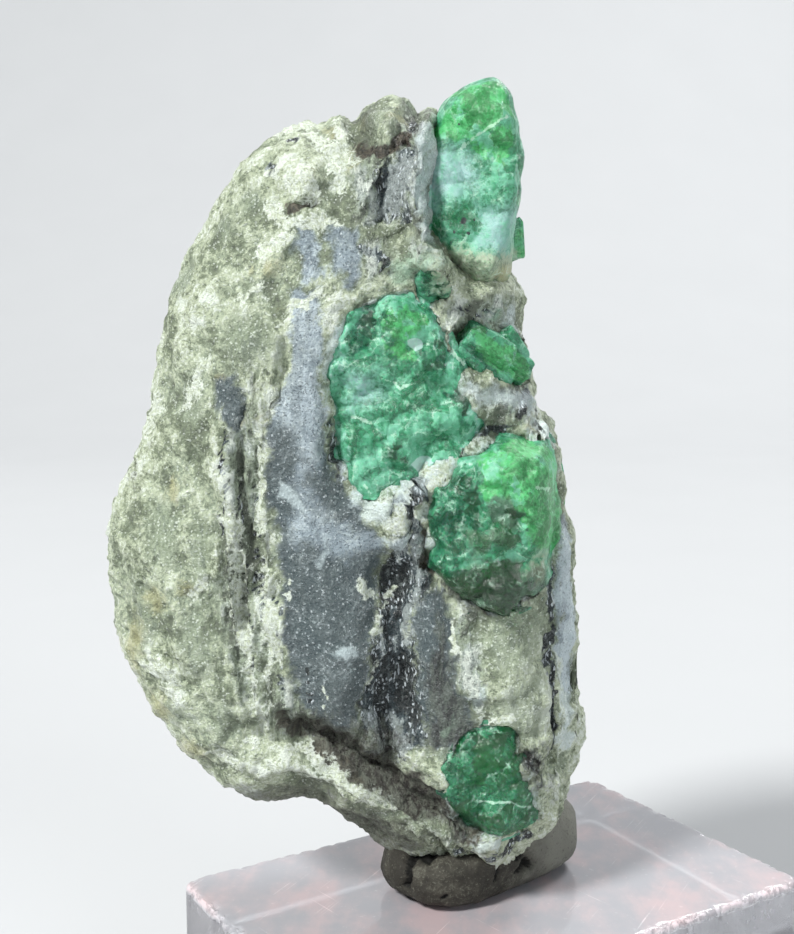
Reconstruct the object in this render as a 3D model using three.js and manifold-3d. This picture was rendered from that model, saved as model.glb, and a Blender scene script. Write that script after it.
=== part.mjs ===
// Emerald in matrix: a broken slab of mica schist and quartz that carries emerald crystals, stood on its
// narrow foot in a lump of mineral tack, on a clear acrylic display block.
// Millimetres, +Z up. The origin is the centre of the block's underside, +X runs along the slab's width,
// and the face with the crystals looks along -Y.

import * as THREE from "three";
import { ConvexGeometry } from "three/addons/geometries/ConvexGeometry.js";
import { mergeVertices } from "three/addons/utils/BufferGeometryUtils.js";
import Module from "manifold-3d";

const wasm = await Module();
wasm.setup();

// Driving dimensions. A turn is in degrees about +Z, and a rim is how far in a face starts to round off.
const BLOCK = { length: 40, width: 24.5, height: 12, turn: 31.5, corner: 1.2, bevel: 0.5 };
const TACK = {
  length: 16, width: 8.8, height: 4.5, turn: 38, x: -0.8, y: 0.8,
  lift: 0.12, // share of the height that is gained or lost at the ends
  squareness: 0.62, // power of the plan's rounded outline, 1 for an ellipse and 0 for a box
};
const SLAB = { centre: [-11, 29], front: 7.4, back: 6.6, frontRim: 8, backRim: 9 };
const CLEARANCE = 0.32; // between a crystal and its pocket, and between the stone and the tack

// How finely the rounded bodies are divided.
const SLAB_COLUMNS = 84;
const SLAB_RINGS = 13; // on each face
const TACK_COLUMNS = 32;

// The slab's outline in X and Z, clockwise from the left of its top.
// Here and below, Z of the stone, the crystals and the tack is counted from the block's top face.
const SLAB_OUTLINE = [
  [-21.6, 46.4], [-19.8, 49.6], [-18, 52.2], [-16.3, 54.2], [-14, 55.3], [-11.2, 55.8], [-9.9, 56],
  [-8.4, 56.9], [-6.8, 57.3], [-5.9, 55.9], [-5.1, 56.7], [-4.2, 55.6], [-3.6, 51], [-2, 47], [0.8, 45.1],
  [1.8, 41.2], [2.2, 38], [2.8, 35.5], [4.1, 34.3], [4.7, 29.5], [5.5, 25.5], [5.6, 19.5], [6, 11],
  [5.2, 7], [3.2, 4.3], [0.3, 2.1], [-3, 2.7], [-6.8, 3.2], [-11.3, 5.8], [-14.4, 7.1], [-17.4, 7.3],
  [-20.3, 8.9], [-23.2, 11.6], [-25.8, 16.3], [-27.7, 20.2], [-28.1, 26.4], [-26.9, 29.5], [-25.4, 32],
  [-24.6, 36.5], [-23.5, 41.8],
];

// Ridges (height over 0) and furrows (under 0) of the slab's front, each along a line in X and Z.
const RELIEF = {
  quartzBand: { height: 0.9, reach: 2.4, line: [[-13, 43], [-13.6, 36], [-13, 28], [-11.5, 18]] },
  micaFurrow: { height: -1.5, reach: 1.5, line: [[-7.8, 25], [-7.3, 19], [-7.6, 12]] },
  ledgeFurrow: { height: -1.6, reach: 1.3, line: [[-16.5, 12], [-11, 9.6], [-5, 5.4]] },
  leftSwell: { height: 0.7, reach: 4, line: [[-20, 40], [-22, 28], [-19, 15]] },
};

// Emerald lumps: outline in X and Z, the Y of the outline's plane, and how far they stand to front and back.
const LUMPS = {
  emerald_crown: {
    plane: -2, front: 4.2, back: 4.0,
    outline: [
      [-1, 58], [0.4, 56.9], [1, 55], [1.4, 52.3], [1.1, 49.5], [0.7, 46.5], [0.5, 44.6], [-1.4, 44.2],
      [-3.1, 45.4], [-4.7, 48], [-5.5, 51], [-4.9, 54], [-3.9, 56.4], [-2.4, 57.6],
    ],
  },
  emerald_bud: {
    plane: -6.4, front: 1.5, back: 1.5,
    outline: [[-5.6, 44.2], [-5, 45.3], [-4.1, 45.2], [-3.7, 44.4], [-4.2, 43.6], [-5, 43.5]],
  },
  emerald_heart_cluster: {
    plane: -5.2, front: 3.2, back: 2.6,
    outline: [
      [-6.6, 43.2], [-5.3, 42.5], [-4.4, 40.8], [-3.9, 39], [-3.1, 37.4], [-2, 34.8], [-2.6, 33.3],
      [-4.6, 32.4], [-7.6, 29.4], [-9.6, 28.8], [-11, 31], [-11.4, 35], [-11.6, 38.4], [-10.6, 40.6],
      [-9, 42.4],
    ],
  },
  emerald_dome: {
    plane: -4.6, front: 5.0, back: 3.0,
    outline: [
      [0.2, 33.2], [2.5, 32.6], [4.1, 30.6], [4.5, 28.2], [3.9, 25.2], [2.4, 23.2], [-0.6, 22.4],
      [-3.2, 23.2], [-4.8, 25.8], [-5.1, 28.6], [-4.2, 31], [-2.2, 32.6],
    ],
  },
  emerald_foot: {
    plane: -4, front: 3.8, back: 2.4,
    outline: [
      [-1.2, 13], [1, 12.4], [1.8, 10], [3.1, 7.4], [2.5, 5.7], [0.4, 4.6], [-1.8, 4.9], [-3.2, 6.4],
      [-3.6, 9.4], [-3.2, 11.6],
    ],
  },
};

// Six-sided prisms: middle point, the direction of the long axis, radius across the corners and length.
const FLANK_PRISMS = [
  { middle: [-1.2, -5.4, 40.1], along: [0.86, 0.28, -0.48], radius: 1.25, length: 3.4 },
  { middle: [0.1, -4, 39.3], along: [0.8, 0.4, -0.5], radius: 1.15, length: 3.9 },
  { middle: [-0.7, -4.8, 38.9], along: [0.7, 0.3, -0.65], radius: 0.8, length: 3 },
];
const EDGE_PRISM = { middle: [0.9, -0.6, 47.5], along: [-0.06, 0.05, 1], radius: 0.8, length: 2.8 };

const FINISHES = {
  schist: { color: 0x8f9488, roughness: 0.75, metalness: 0 },
  emerald: { color: 0x2f9a5c, roughness: 0.25, metalness: 0, transparent: true, opacity: 0.8 },
  tack: { color: 0x4a463e, roughness: 0.7, metalness: 0 },
  acrylic: { color: 0xe6eaf0, roughness: 0.08, metalness: 0, transparent: true, opacity: 0.35 },
};

/** A manifold-3d solid of a closed geometry, for a cut or a join. */
function solidOf(geometry) {
  const bare = geometry.index ? geometry.toNonIndexed() : geometry.clone();
  bare.deleteAttribute("normal");
  bare.deleteAttribute("uv");
  const merged = mergeVertices(bare, 1e-4);
  return new wasm.Manifold(
    new wasm.Mesh({
      numProp: 3,
      vertProperties: merged.attributes.position.array,
      triVerts: new Uint32Array(merged.index.array),
    }),
  );
}

/** The flat-shaded geometry of a manifold-3d solid. */
function geometryOf(solid) {
  const mesh = solid.getMesh();
  const geometry = new THREE.BufferGeometry();
  geometry.setAttribute("position", new THREE.BufferAttribute(mesh.vertProperties, 3));
  geometry.setIndex(new THREE.BufferAttribute(mesh.triVerts, 1));
  const flat = geometry.toNonIndexed();
  flat.computeVertexNormals();
  return flat;
}

/** A closed surface: a pole, then rings of equal numbers of points, then a pole. */
function lofted(firstPole, rings, lastPole) {
  const columns = rings[0].length;
  const points = [firstPole, ...rings.flat(), lastPole];
  const faces = [];
  const at = (ring, column) => 1 + ring * columns + (column % columns);
  for (let column = 0; column < columns; column++) {
    faces.push(0, at(0, column + 1), at(0, column));
    for (let ring = 0; ring < rings.length - 1; ring++) {
      const [a, b] = [at(ring, column), at(ring, column + 1)];
      const [c, d] = [at(ring + 1, column), at(ring + 1, column + 1)];
      faces.push(a, b, c, b, d, c);
    }
    const end = rings.length - 1;
    faces.push(points.length - 1, at(end, column), at(end, column + 1));
  }
  const geometry = new THREE.BufferGeometry().setFromPoints(points);
  geometry.setIndex(faces);
  return geometry;
}

/** Distance in a plane from (x, z) to the polyline through points; closed joins the last to the first. */
function distanceTo(points, x, z, closed) {
  let least = Infinity;
  for (let i = 0; i < points.length - (closed ? 0 : 1); i++) {
    const [ax, az] = points[i];
    const [bx, bz] = points[(i + 1) % points.length];
    const [dx, dz] = [bx - ax, bz - az];
    const share = THREE.MathUtils.clamp(((x - ax) * dx + (z - az) * dz) / (dx * dx + dz * dz), 0, 1);
    least = Math.min(least, Math.hypot(x - ax - share * dx, z - az - share * dz));
  }
  return least;
}

/** How far the slab's face stands out at a distance from its rim: a quarter circle, then flat. */
function rimRound(distance, width) {
  const share = 1 - Math.min(distance / width, 1);
  return Math.sqrt(1 - share * share);
}

/** The sum of the ridges and furrows of the slab's front at (x, z). */
function reliefAt(x, z) {
  return Object.values(RELIEF).reduce((sum, { height, reach, line }) => {
    const away = distanceTo(line, x, z, false) / reach;
    return sum + height * Math.exp(-away * away);
  }, 0);
}

/** The slab: rings shrink from its outline to the middle of each face. grow makes it larger all over. */
function slabForm(grow = 0) {
  const curve = new THREE.CatmullRomCurve3(
    SLAB_OUTLINE.map(([x, z]) => new THREE.Vector3(x, 0, z)),
    true,
    "centripetal",
  );
  const rim = curve.getSpacedPoints(SLAB_COLUMNS).slice(0, -1).reverse();
  const outline = rim.map((p) => [p.x, p.z]);
  const [cx, cz] = SLAB.centre;
  const ringAt = (share, side) =>
    rim.map((p) => {
      const x = cx + share * (p.x - cx);
      const z = cz + share * (p.z - cz);
      const reach = Math.hypot(p.x - cx, p.z - cz);
      const wide = 1 + (grow * share) / reach;
      const away = distanceTo(outline, x, z, true);
      const y =
        side > 0
          ? (SLAB.back + grow) * rimRound(away, SLAB.backRim)
          : -(SLAB.front + grow + reliefAt(x, z)) * rimRound(away, SLAB.frontRim);
      return new THREE.Vector3(cx + (x - cx) * wide, share === 1 ? 0 : y, cz + (z - cz) * wide);
    });
  const shares = Array.from({ length: SLAB_RINGS }, (_, i) =>
    Math.sin(((i + 1) / (SLAB_RINGS + 1)) * (Math.PI / 2)),
  );
  const rings = [
    ...shares.map((share) => ringAt(share, 1)),
    ringAt(1, 0),
    ...shares.map((share) => ringAt(share, -1)).reverse(),
  ];
  const back = new THREE.Vector3(cx, SLAB.back + grow, cz);
  const front = new THREE.Vector3(cx, -(SLAB.front + grow + reliefAt(cx, cz)), cz);
  return solidOf(lofted(back, rings, front));
}

/** Copies of points moved out by grow along each axis, whose hull is the body with that much clearance. */
function grown(points, grow) {
  if (!grow) return points;
  const reach = grow * Math.sqrt(3);
  const steps = [[1, 0, 0], [-1, 0, 0], [0, 1, 0], [0, -1, 0], [0, 0, 1], [0, 0, -1]];
  return steps.flatMap((step) =>
    points.map((p) => p.clone().addScaledVector(new THREE.Vector3(...step), reach)),
  );
}

/** A faceted lump of crystal: the hull of its outline and of smaller copies of it in front and behind. */
function lumpForm({ outline, plane, front, back }, grow = 0) {
  const cx = outline.reduce((sum, [x]) => sum + x, 0) / outline.length;
  const cz = outline.reduce((sum, [, z]) => sum + z, 0) / outline.length;
  const tiers = [[1, 0], [0.86, 0.55], [0.5, 0.92], [0.12, 1]];
  const stagger = 0.9; // every other column is drawn in a little, which breaks the tiers into facets
  const points = outline.flatMap(([x, z], i) =>
    tiers.flatMap(([share, out]) => {
      const wide = share * (i % 2 && share < 1 ? stagger : 1);
      const place = (y) => new THREE.Vector3(cx + wide * (x - cx), y, cz + wide * (z - cz));
      return [place(plane - out * front), place(plane + out * back)];
    }),
  );
  return solidOf(new ConvexGeometry(grown(points, grow)));
}

/** A six-sided prism about its middle, turned to lie along a direction. */
function prismForm({ middle, along, radius, length }, grow = 0) {
  const geometry = new THREE.CylinderGeometry(radius + grow, radius + grow, length + 2 * grow, 6);
  const turn = new THREE.Quaternion().setFromUnitVectors(
    new THREE.Vector3(0, 1, 0),
    new THREE.Vector3(...along).normalize(),
  );
  return solidOf(geometry.applyQuaternion(turn).translate(...middle));
}

/** Several overlapping prisms joined in one solid. */
function prismGroupForm(prisms, grow = 0) {
  return prisms.map((prism) => prismForm(prism, grow)).reduce((whole, next) => whole.add(next));
}

/** The lump of tack: rounded rings stacked upwards, a little higher at its right end. */
function tackForm() {
  const tiers = [[0.9, 0], [1, 0.14], [1.02, 0.4], [0.97, 0.66], [0.84, 0.86], [0.56, 0.97]];
  const up = new THREE.Vector3(0, 0, 1);
  const place = (angle, share, height) => {
    const [c, s] = [Math.cos(angle), Math.sin(angle)];
    const u = share * Math.sign(c) * Math.abs(c) ** TACK.squareness;
    const v = share * Math.sign(s) * Math.abs(s) ** TACK.squareness;
    const z = height * TACK.height * (1 + TACK.lift * u);
    return new THREE.Vector3((u * TACK.length) / 2, (v * TACK.width) / 2, z)
      .applyAxisAngle(up, THREE.MathUtils.degToRad(TACK.turn))
      .add(new THREE.Vector3(TACK.x, TACK.y, 0));
  };
  const rings = tiers.map(([share, height]) =>
    Array.from({ length: TACK_COLUMNS }, (_, i) => place((2 * Math.PI * i) / TACK_COLUMNS, share, height)),
  );
  return solidOf(lofted(place(0, 0, 0), rings, place(0, 0, 1)));
}

/** The display block: a rounded rectangle with bevelled edges, its underside at Z 0. */
function blockGeometry() {
  const { length, width, height, corner, bevel } = BLOCK;
  const [x, y] = [length / 2 - corner, width / 2 - corner];
  const shape = new THREE.Shape();
  shape.absarc(x, y, corner, 0, Math.PI / 2);
  shape.absarc(-x, y, corner, Math.PI / 2, Math.PI);
  shape.absarc(-x, -y, corner, Math.PI, 1.5 * Math.PI);
  shape.absarc(x, -y, corner, 1.5 * Math.PI, 2 * Math.PI);
  shape.closePath();
  return new THREE.ExtrudeGeometry(shape, {
    depth: height - 2 * bevel,
    bevelThickness: bevel,
    bevelSize: bevel,
    bevelOffset: -bevel,
    bevelSegments: 2,
    curveSegments: 4,
  }).translate(0, 0, bevel);
}

/** A named mesh of a solid, with one of the finishes. */
function piece(name, solid, finish) {
  const mesh = new THREE.Mesh(geometryOf(solid), new THREE.MeshStandardMaterial(FINISHES[finish]));
  mesh.name = name;
  return mesh;
}

const crystals = Object.fromEntries(Object.entries(LUMPS).map(([name, lump]) => [name, lumpForm(lump)]));
crystals.emerald_flank_prisms = prismGroupForm(FLANK_PRISMS);
crystals.emerald_crown = crystals.emerald_crown.subtract(prismForm(EDGE_PRISM, CLEARANCE));
crystals.emerald_edge_prism = prismForm(EDGE_PRISM);

const pockets = [
  ...Object.values(LUMPS).map((lump) => lumpForm(lump, CLEARANCE)),
  prismGroupForm(FLANK_PRISMS, CLEARANCE),
  prismForm(EDGE_PRISM, CLEARANCE),
].reduce((whole, next) => whole.add(next));

const stone = new THREE.Group();
stone.position.z = BLOCK.height;
stone.add(piece("matrix", slabForm().subtract(pockets), "schist"));
for (const [name, solid] of Object.entries(crystals)) stone.add(piece(name, solid, "emerald"));
stone.add(piece("tack", tackForm().subtract(slabForm(CLEARANCE)).subtract(pockets), "tack"));

const block = new THREE.Mesh(blockGeometry(), new THREE.MeshStandardMaterial(FINISHES.acrylic));
block.name = "display_block";
block.rotation.z = THREE.MathUtils.degToRad(BLOCK.turn);

const object = new THREE.Group();
object.add(block, stone);

export default object;
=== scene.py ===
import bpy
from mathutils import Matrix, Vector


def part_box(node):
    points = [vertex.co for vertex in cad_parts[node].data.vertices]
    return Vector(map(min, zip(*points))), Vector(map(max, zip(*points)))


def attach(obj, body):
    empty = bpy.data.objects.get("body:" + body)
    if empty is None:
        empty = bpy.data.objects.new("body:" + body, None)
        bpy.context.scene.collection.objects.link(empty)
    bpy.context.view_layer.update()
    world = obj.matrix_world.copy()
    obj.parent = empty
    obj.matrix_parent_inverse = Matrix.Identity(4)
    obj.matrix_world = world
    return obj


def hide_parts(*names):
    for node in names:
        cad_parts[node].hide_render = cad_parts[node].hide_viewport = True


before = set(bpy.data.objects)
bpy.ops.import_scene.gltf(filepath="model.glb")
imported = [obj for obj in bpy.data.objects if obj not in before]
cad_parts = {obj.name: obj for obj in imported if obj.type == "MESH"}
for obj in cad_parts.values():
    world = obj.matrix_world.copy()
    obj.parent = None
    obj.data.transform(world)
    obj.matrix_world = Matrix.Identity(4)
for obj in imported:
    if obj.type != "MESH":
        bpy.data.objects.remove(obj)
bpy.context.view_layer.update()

import math

import bpy
import numpy as np
from mathutils import Euler

# Emerald in matrix: a broken slab of mica schist and quartz with rough emerald crystals, stood in a lump
# of mineral tack on a clear acrylic block.
# Shapes are worked out in millimetres, with Z counted from the top face of the block, and only build()
# turns them into metres of the frame. X runs to the right and the face with the crystals looks along -Y.

MM = 0.001
BLOCK_LOW, BLOCK_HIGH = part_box("display_block")
BLOCK_TOP = BLOCK_HIGH.z / MM

# ---------------------------------------------------------------------------------------------------
# Random fields. Every one is worked out from whole-number cells, so each run gives the same result.
# ---------------------------------------------------------------------------------------------------

HASH_X, HASH_Y, HASH_Z, HASH_SEED = 0x9E3779B1, 0x85EBCA77, 0xC2B2AE3D, 0x27D4EB2F
HASH_FIRST, HASH_SECOND, WORD = 0x2C1B3C6D, 0x297A2D39, 0xFFFFFFFF
SIXTHS = (0, math.pi / 3, 2 * math.pi / 3)
CORNERS = np.array([(i, j, k) for i in (0, 1) for j in (0, 1) for k in (0, 1)])
SLOPES = np.array([
    (1, 1, 0), (-1, 1, 0), (1, -1, 0), (-1, -1, 0), (1, 0, 1), (-1, 0, 1),
    (1, 0, -1), (-1, 0, -1), (0, 1, 1), (0, -1, 1), (0, 1, -1), (0, -1, -1),
])


def scatter(cells, seed):
    """A number from 0 to 1 for each whole-number cell: its coordinates and the seed, multiplied and
    mixed."""
    mixed = cells[..., 0] * HASH_X + cells[..., 1] * HASH_Y + cells[..., 2] * HASH_Z + seed * HASH_SEED
    mixed = mixed & WORD
    mixed = ((mixed ^ (mixed >> 15)) * HASH_FIRST) & WORD
    mixed = ((mixed ^ (mixed >> 12)) * HASH_SECOND) & WORD
    return (mixed ^ (mixed >> 15)) / WORD


def hills(points, size, seed):
    """Smooth random hills from about -1 to 1, size mm apart: gradient noise, which blends the slopes given
    at a cell's eight corners by a fifth-power fade. Size is one number, or one for each axis."""
    place = points / size
    cells = np.floor(place).astype(np.int64)
    inner = place - cells
    fade = inner**3 * (inner * (inner * 6 - 15) + 10)
    total = np.zeros(place.shape[:-1])
    for corner in CORNERS:
        pick = (scatter(cells + corner, seed) * 11.99).astype(int)
        slope = (SLOPES[pick] * (inner - corner)).sum(-1)
        share = np.where(corner == 1, fade, 1 - fade).prod(-1)
        total += share * slope
    return total


def crags(points, size, seed, octaves=4, gain=0.5):
    """Hills with smaller hills on them: each octave is half the size and gain times the height."""
    size = np.asarray(size, float)
    return sum(gain**i * hills(points, size / 2**i, seed + i) for i in range(octaves))


def blocks(x, z, size, tilt, seed, flat=0.3, fall=1.3):
    """Relief in mm of intergrown crystals: the highest of many six-sided blocks, one to a cell of the given
    size. A block's top is a plane that leans at random by up to tilt, and beyond the share flat of the size
    its sides fall away. The second result is a random number for the block that is highest."""
    place = np.stack([x / size, np.zeros_like(x), z / size], -1)
    cells = np.floor(place).astype(np.int64)
    best = np.full(x.shape, -np.inf)
    mark = np.zeros(x.shape)
    for step in [(i, 0, k) for i in (-1, 0, 1) for k in (-1, 0, 1)]:
        cell = cells + np.array(step)
        dx = place[..., 0] - cell[..., 0] - scatter(cell, seed)
        dz = place[..., 2] - cell[..., 2] - scatter(cell, seed + 1)
        lean_x, lean_z = ((scatter(cell, seed + i) - 0.5) * 2 * tilt for i in (2, 3))
        turn = scatter(cell, seed + 5) * math.pi / 3
        sides = [np.abs(dx * np.cos(turn + a) + dz * np.sin(turn + a)) for a in SIXTHS]
        over = np.maximum(np.max(sides, axis=0) - flat, 0)
        height = lean_x * dx + lean_z * dz - fall * over + 0.3 * scatter(cell, seed + 6)
        higher = height > best
        mark = np.where(higher, scatter(cell, seed + 4), mark)
        best = np.where(higher, height, best)
    return best * size, mark


# ---------------------------------------------------------------------------------------------------
# Lines and areas in the XZ plane.
# ---------------------------------------------------------------------------------------------------


def smooth(value, low=0.0, high=1.0):
    """Rises from 0 at low to 1 at high with level ends: 3t squared less 2t cubed."""
    t = np.clip((value - low) / (high - low), 0, 1)
    return t * t * (3 - 2 * t)


def rounded(points, steps=6):
    """A closed smooth curve through points, with a number of steps between neighbours: a Catmull-Rom curve,
    a cubic whose slope at each point is half the way from the point before to the point after."""
    p = np.asarray(points, float)
    before, after, beyond = np.roll(p, 1, 0), np.roll(p, -1, 0), np.roll(p, -2, 0)
    t = (np.arange(steps) / steps)[None, :, None]
    p, before, after, beyond = (a[:, None, :] for a in (p, before, after, beyond))
    start, end = (after - before) / 2, (beyond - p) / 2
    curve = (
        (2 * t**3 - 3 * t**2 + 1) * p
        + (t**3 - 2 * t**2 + t) * start
        + (3 * t**2 - 2 * t**3) * after
        + (t**3 - t**2) * end
    )
    return curve.reshape(-1, 2)


def distance(line, x, z, closed=False):
    """Distance from points to a line of straight stretches: the least over the stretches."""
    line = np.asarray(line, float)
    ends = np.roll(line, -1, 0) if closed else line[1:]
    least = np.full(np.shape(x), np.inf)
    for (ax, az), (bx, bz) in zip(line, ends):
        dx, dz = bx - ax, bz - az
        share = np.clip(((x - ax) * dx + (z - az) * dz) / (dx * dx + dz * dz), 0, 1)
        least = np.minimum(least, (x - ax - share * dx) ** 2 + (z - az - share * dz) ** 2)
    return np.sqrt(least)


def within(outline, x, z):
    """True for points inside an outline: a level line from the point crosses it an odd number of times."""
    outline = np.asarray(outline, float)
    odd = np.zeros(np.shape(x), bool)
    for (ax, az), (bx, bz) in zip(outline, np.roll(outline, -1, 0)):
        if az != bz:
            odd ^= ((az > z) != (bz > z)) & (x < ax + (z - az) * (bx - ax) / (bz - az))
    return odd


def inward(outline, x, z):
    """Distance in mm inside a closed outline, under 0 outside."""
    away = distance(outline, x, z, closed=True)
    return np.where(within(outline, x, z), away, -away)


def area(outline, x, z, soft, inset=0.0):
    """Mask of an outline: 1 inside and 0 outside, and one half at inset mm in from the line, with an edge
    soft mm wide."""
    return np.clip(0.5 + (inward(outline, x, z) - inset) / soft, 0, 1)


def ragged(outline, x, z):
    """Distance in mm inside a closed outline whose edge is broken up by hills, under 0 outside."""
    return inward(outline, x, z) + 0.7 * crags(np.stack([x, 0 * x, z], -1), 2.4, 99, 3, gain=0.55)


def stroke(line, reach, x, z):
    """Mask of a line: 1 on it, falling off as a bell curve over reach mm."""
    return np.exp(-((distance(line, x, z) / reach) ** 2))


def spot(x, z, middle, size):
    """Mask of an oval: 1 in its middle, falling off as a bell curve over size mm in X and in Z."""
    return np.exp(-(((x - middle[0]) / size[0]) ** 2) - ((z - middle[1]) / size[1]) ** 2)


def swollen(swellings, x, z):
    """The sum of several rounded swellings, each given as its height, its middle and its size."""
    return sum(height * spot(x, z, middle, size) for height, middle, size in swellings)


def strongest(masks, like):
    """The highest of several masks at each point, or 0 where there are none."""
    total = np.zeros(np.shape(like))
    for mask in masks:
        total = np.maximum(total, mask)
    return total


def areas(outlines, soft, x, z, inset=0.0):
    """The strongest mask of several outlines."""
    return strongest((area(outline, x, z, soft, inset) for outline in outlines), x)


def strokes(lines, x, z):
    """The strongest mask of several lines, each given as its reach and its points."""
    return strongest((stroke(line, reach, x, z) for reach, line in lines), x)


def spots(ovals, x, z):
    """The strongest mask of several ovals, each given as its middle and its size."""
    return strongest((spot(x, z, middle, size) for middle, size in ovals), x)


# ---------------------------------------------------------------------------------------------------
# Meshes.
# ---------------------------------------------------------------------------------------------------


def shell(first_pole, rings, last_pole):
    """Points, four-sided and three-sided faces of a closed surface: rings of points, joined by quads, and a
    pole before the first ring and after the last, each joined by a fan. The faces point outwards: if the
    volume under them comes out negative, they are turned over."""
    count, columns = rings.shape[:2]
    points = np.vstack([first_pole, rings.reshape(-1, 3), last_pole])
    column = np.arange(columns)
    after = (column + 1) % columns
    row = 1 + np.arange(count - 1)[:, None] * columns
    quads = np.stack([row + column, row + columns + column, row + columns + after, row + after], -1)
    quads = quads.reshape(-1, 4)
    last_row = 1 + (count - 1) * columns
    fans = np.vstack([
        np.stack([np.zeros_like(column), 1 + column, 1 + after], -1),
        np.stack([np.full_like(column, len(points) - 1), last_row + after, last_row + column], -1),
    ])
    triangles = np.vstack([quads[:, [0, 1, 2]], quads[:, [0, 2, 3]], fans])
    a, b, c = (points[triangles[:, i]] for i in range(3))
    if np.einsum("ij,ij->i", a, np.cross(b, c)).sum() < 0:
        quads, fans = quads[:, ::-1], fans[:, ::-1]
    return points, quads, fans


def together(shells):
    """Several shells as one: their points one after another, with the faces' numbers moved up to match."""
    starts = np.cumsum([0] + [len(points) for points, quads, fans in shells[:-1]])
    return (
        np.vstack([points for points, quads, fans in shells]),
        np.vstack([quads + start for start, (points, quads, fans) in zip(starts, shells)]),
        np.vstack([fans + start for start, (points, quads, fans) in zip(starts, shells)]),
    )


def build(name, shell_parts, masks=None):
    """An object from a shell in mm. Masks are numbers for each point and become attributes."""
    points, quads, triangles = shell_parts
    points = points * MM
    points[:, 2] += BLOCK_TOP * MM
    mesh = bpy.data.meshes.new(name)
    mesh.vertices.add(len(points))
    mesh.vertices.foreach_set("co", points.ravel())
    corners = np.concatenate([quads.ravel(), triangles.ravel()]).astype(np.int32)
    sizes = np.concatenate([np.full(len(quads), 4), np.full(len(triangles), 3)])
    starts = np.concatenate([[0], np.cumsum(sizes)[:-1]]).astype(np.int32)
    mesh.loops.add(len(corners))
    mesh.loops.foreach_set("vertex_index", corners)
    mesh.polygons.add(len(sizes))
    mesh.polygons.foreach_set("loop_start", starts)
    mesh.polygons.foreach_set("use_smooth", np.full(len(sizes), True))
    mesh.update(calc_edges=True)
    for mask, values in (masks or {}).items():
        layer = mesh.attributes.new(mask, "FLOAT", "POINT")
        layer.data.foreach_set("value", np.asarray(values, np.float32).ravel())
    piece = bpy.data.objects.new(name, mesh)
    bpy.context.scene.collection.objects.link(piece)
    return piece


def outward(rings, first_pole, last_pole):
    """Unit normals of a surface of rings, one for each point: the cross product of its two grid directions,
    turned to point away from the line between the poles."""
    padded = np.concatenate([np.broadcast_to(first_pole, rings[:1].shape), rings,
                             np.broadcast_to(last_pole, rings[:1].shape)])
    along = padded[2:] - padded[:-2]
    round_ = np.roll(rings, -1, 1) - np.roll(rings, 1, 1)
    normal = np.cross(round_, along)
    normal /= np.maximum(np.linalg.norm(normal, axis=-1, keepdims=True), 1e-9)
    middle = rings.mean(1, keepdims=True)
    facing = np.sign((normal * (rings - middle)).sum(-1).mean())
    return normal * facing


def finish_piece(piece, material, node):
    """Gives a piece its material, makes it ride, and lets it stand for its CAD node."""
    piece.data.materials.append(material)
    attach(piece, "root")
    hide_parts(node)


# ---------------------------------------------------------------------------------------------------
# The stone: its form.
# ---------------------------------------------------------------------------------------------------

SLAB_FRONT, SLAB_BACK = 7.4, 6.6  # how far its faces stand from the plane of its outline
FRONT_RIM, BACK_RIM = 8.0, 9.0  # how far in from the outline each face starts to round off
SLAB_OUTLINE = [
    (-21.6, 46.4), (-20.9, 47.5), (-20.4, 48.4), (-19.8, 49.6), (-18, 52.2), (-16.3, 54.2), (-14, 55.3),
    (-12.4, 55.4), (-11.2, 55.9), (-10.2, 55.6), (-9.7, 56.2), (-8.4, 56.9), (-6.8, 57.3), (-6.1, 56.6),
    (-5.8, 55.7), (-5.1, 56.5), (-4.2, 55.6), (-3.6, 51), (-2, 47), (0.8, 45.1), (1.8, 41.2), (2.2, 38),
    (2.6, 36), (4.1, 34.3), (4.7, 29.5), (5.5, 25.5), (5.6, 19.5), (6, 11), (5.2, 7), (3.2, 4.3),
    (0.3, 2.1), (-3, 2.7), (-6.8, 3.2), (-11.3, 5.8), (-14.4, 7.1), (-17.4, 7.3), (-20.3, 8.9),
    (-23.2, 11.6), (-25.8, 16.3), (-27.7, 20.2), (-28.1, 26.4), (-26.9, 29.5), (-25.4, 32),
    (-24.6, 36.5), (-23.5, 41.8),
]

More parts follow.
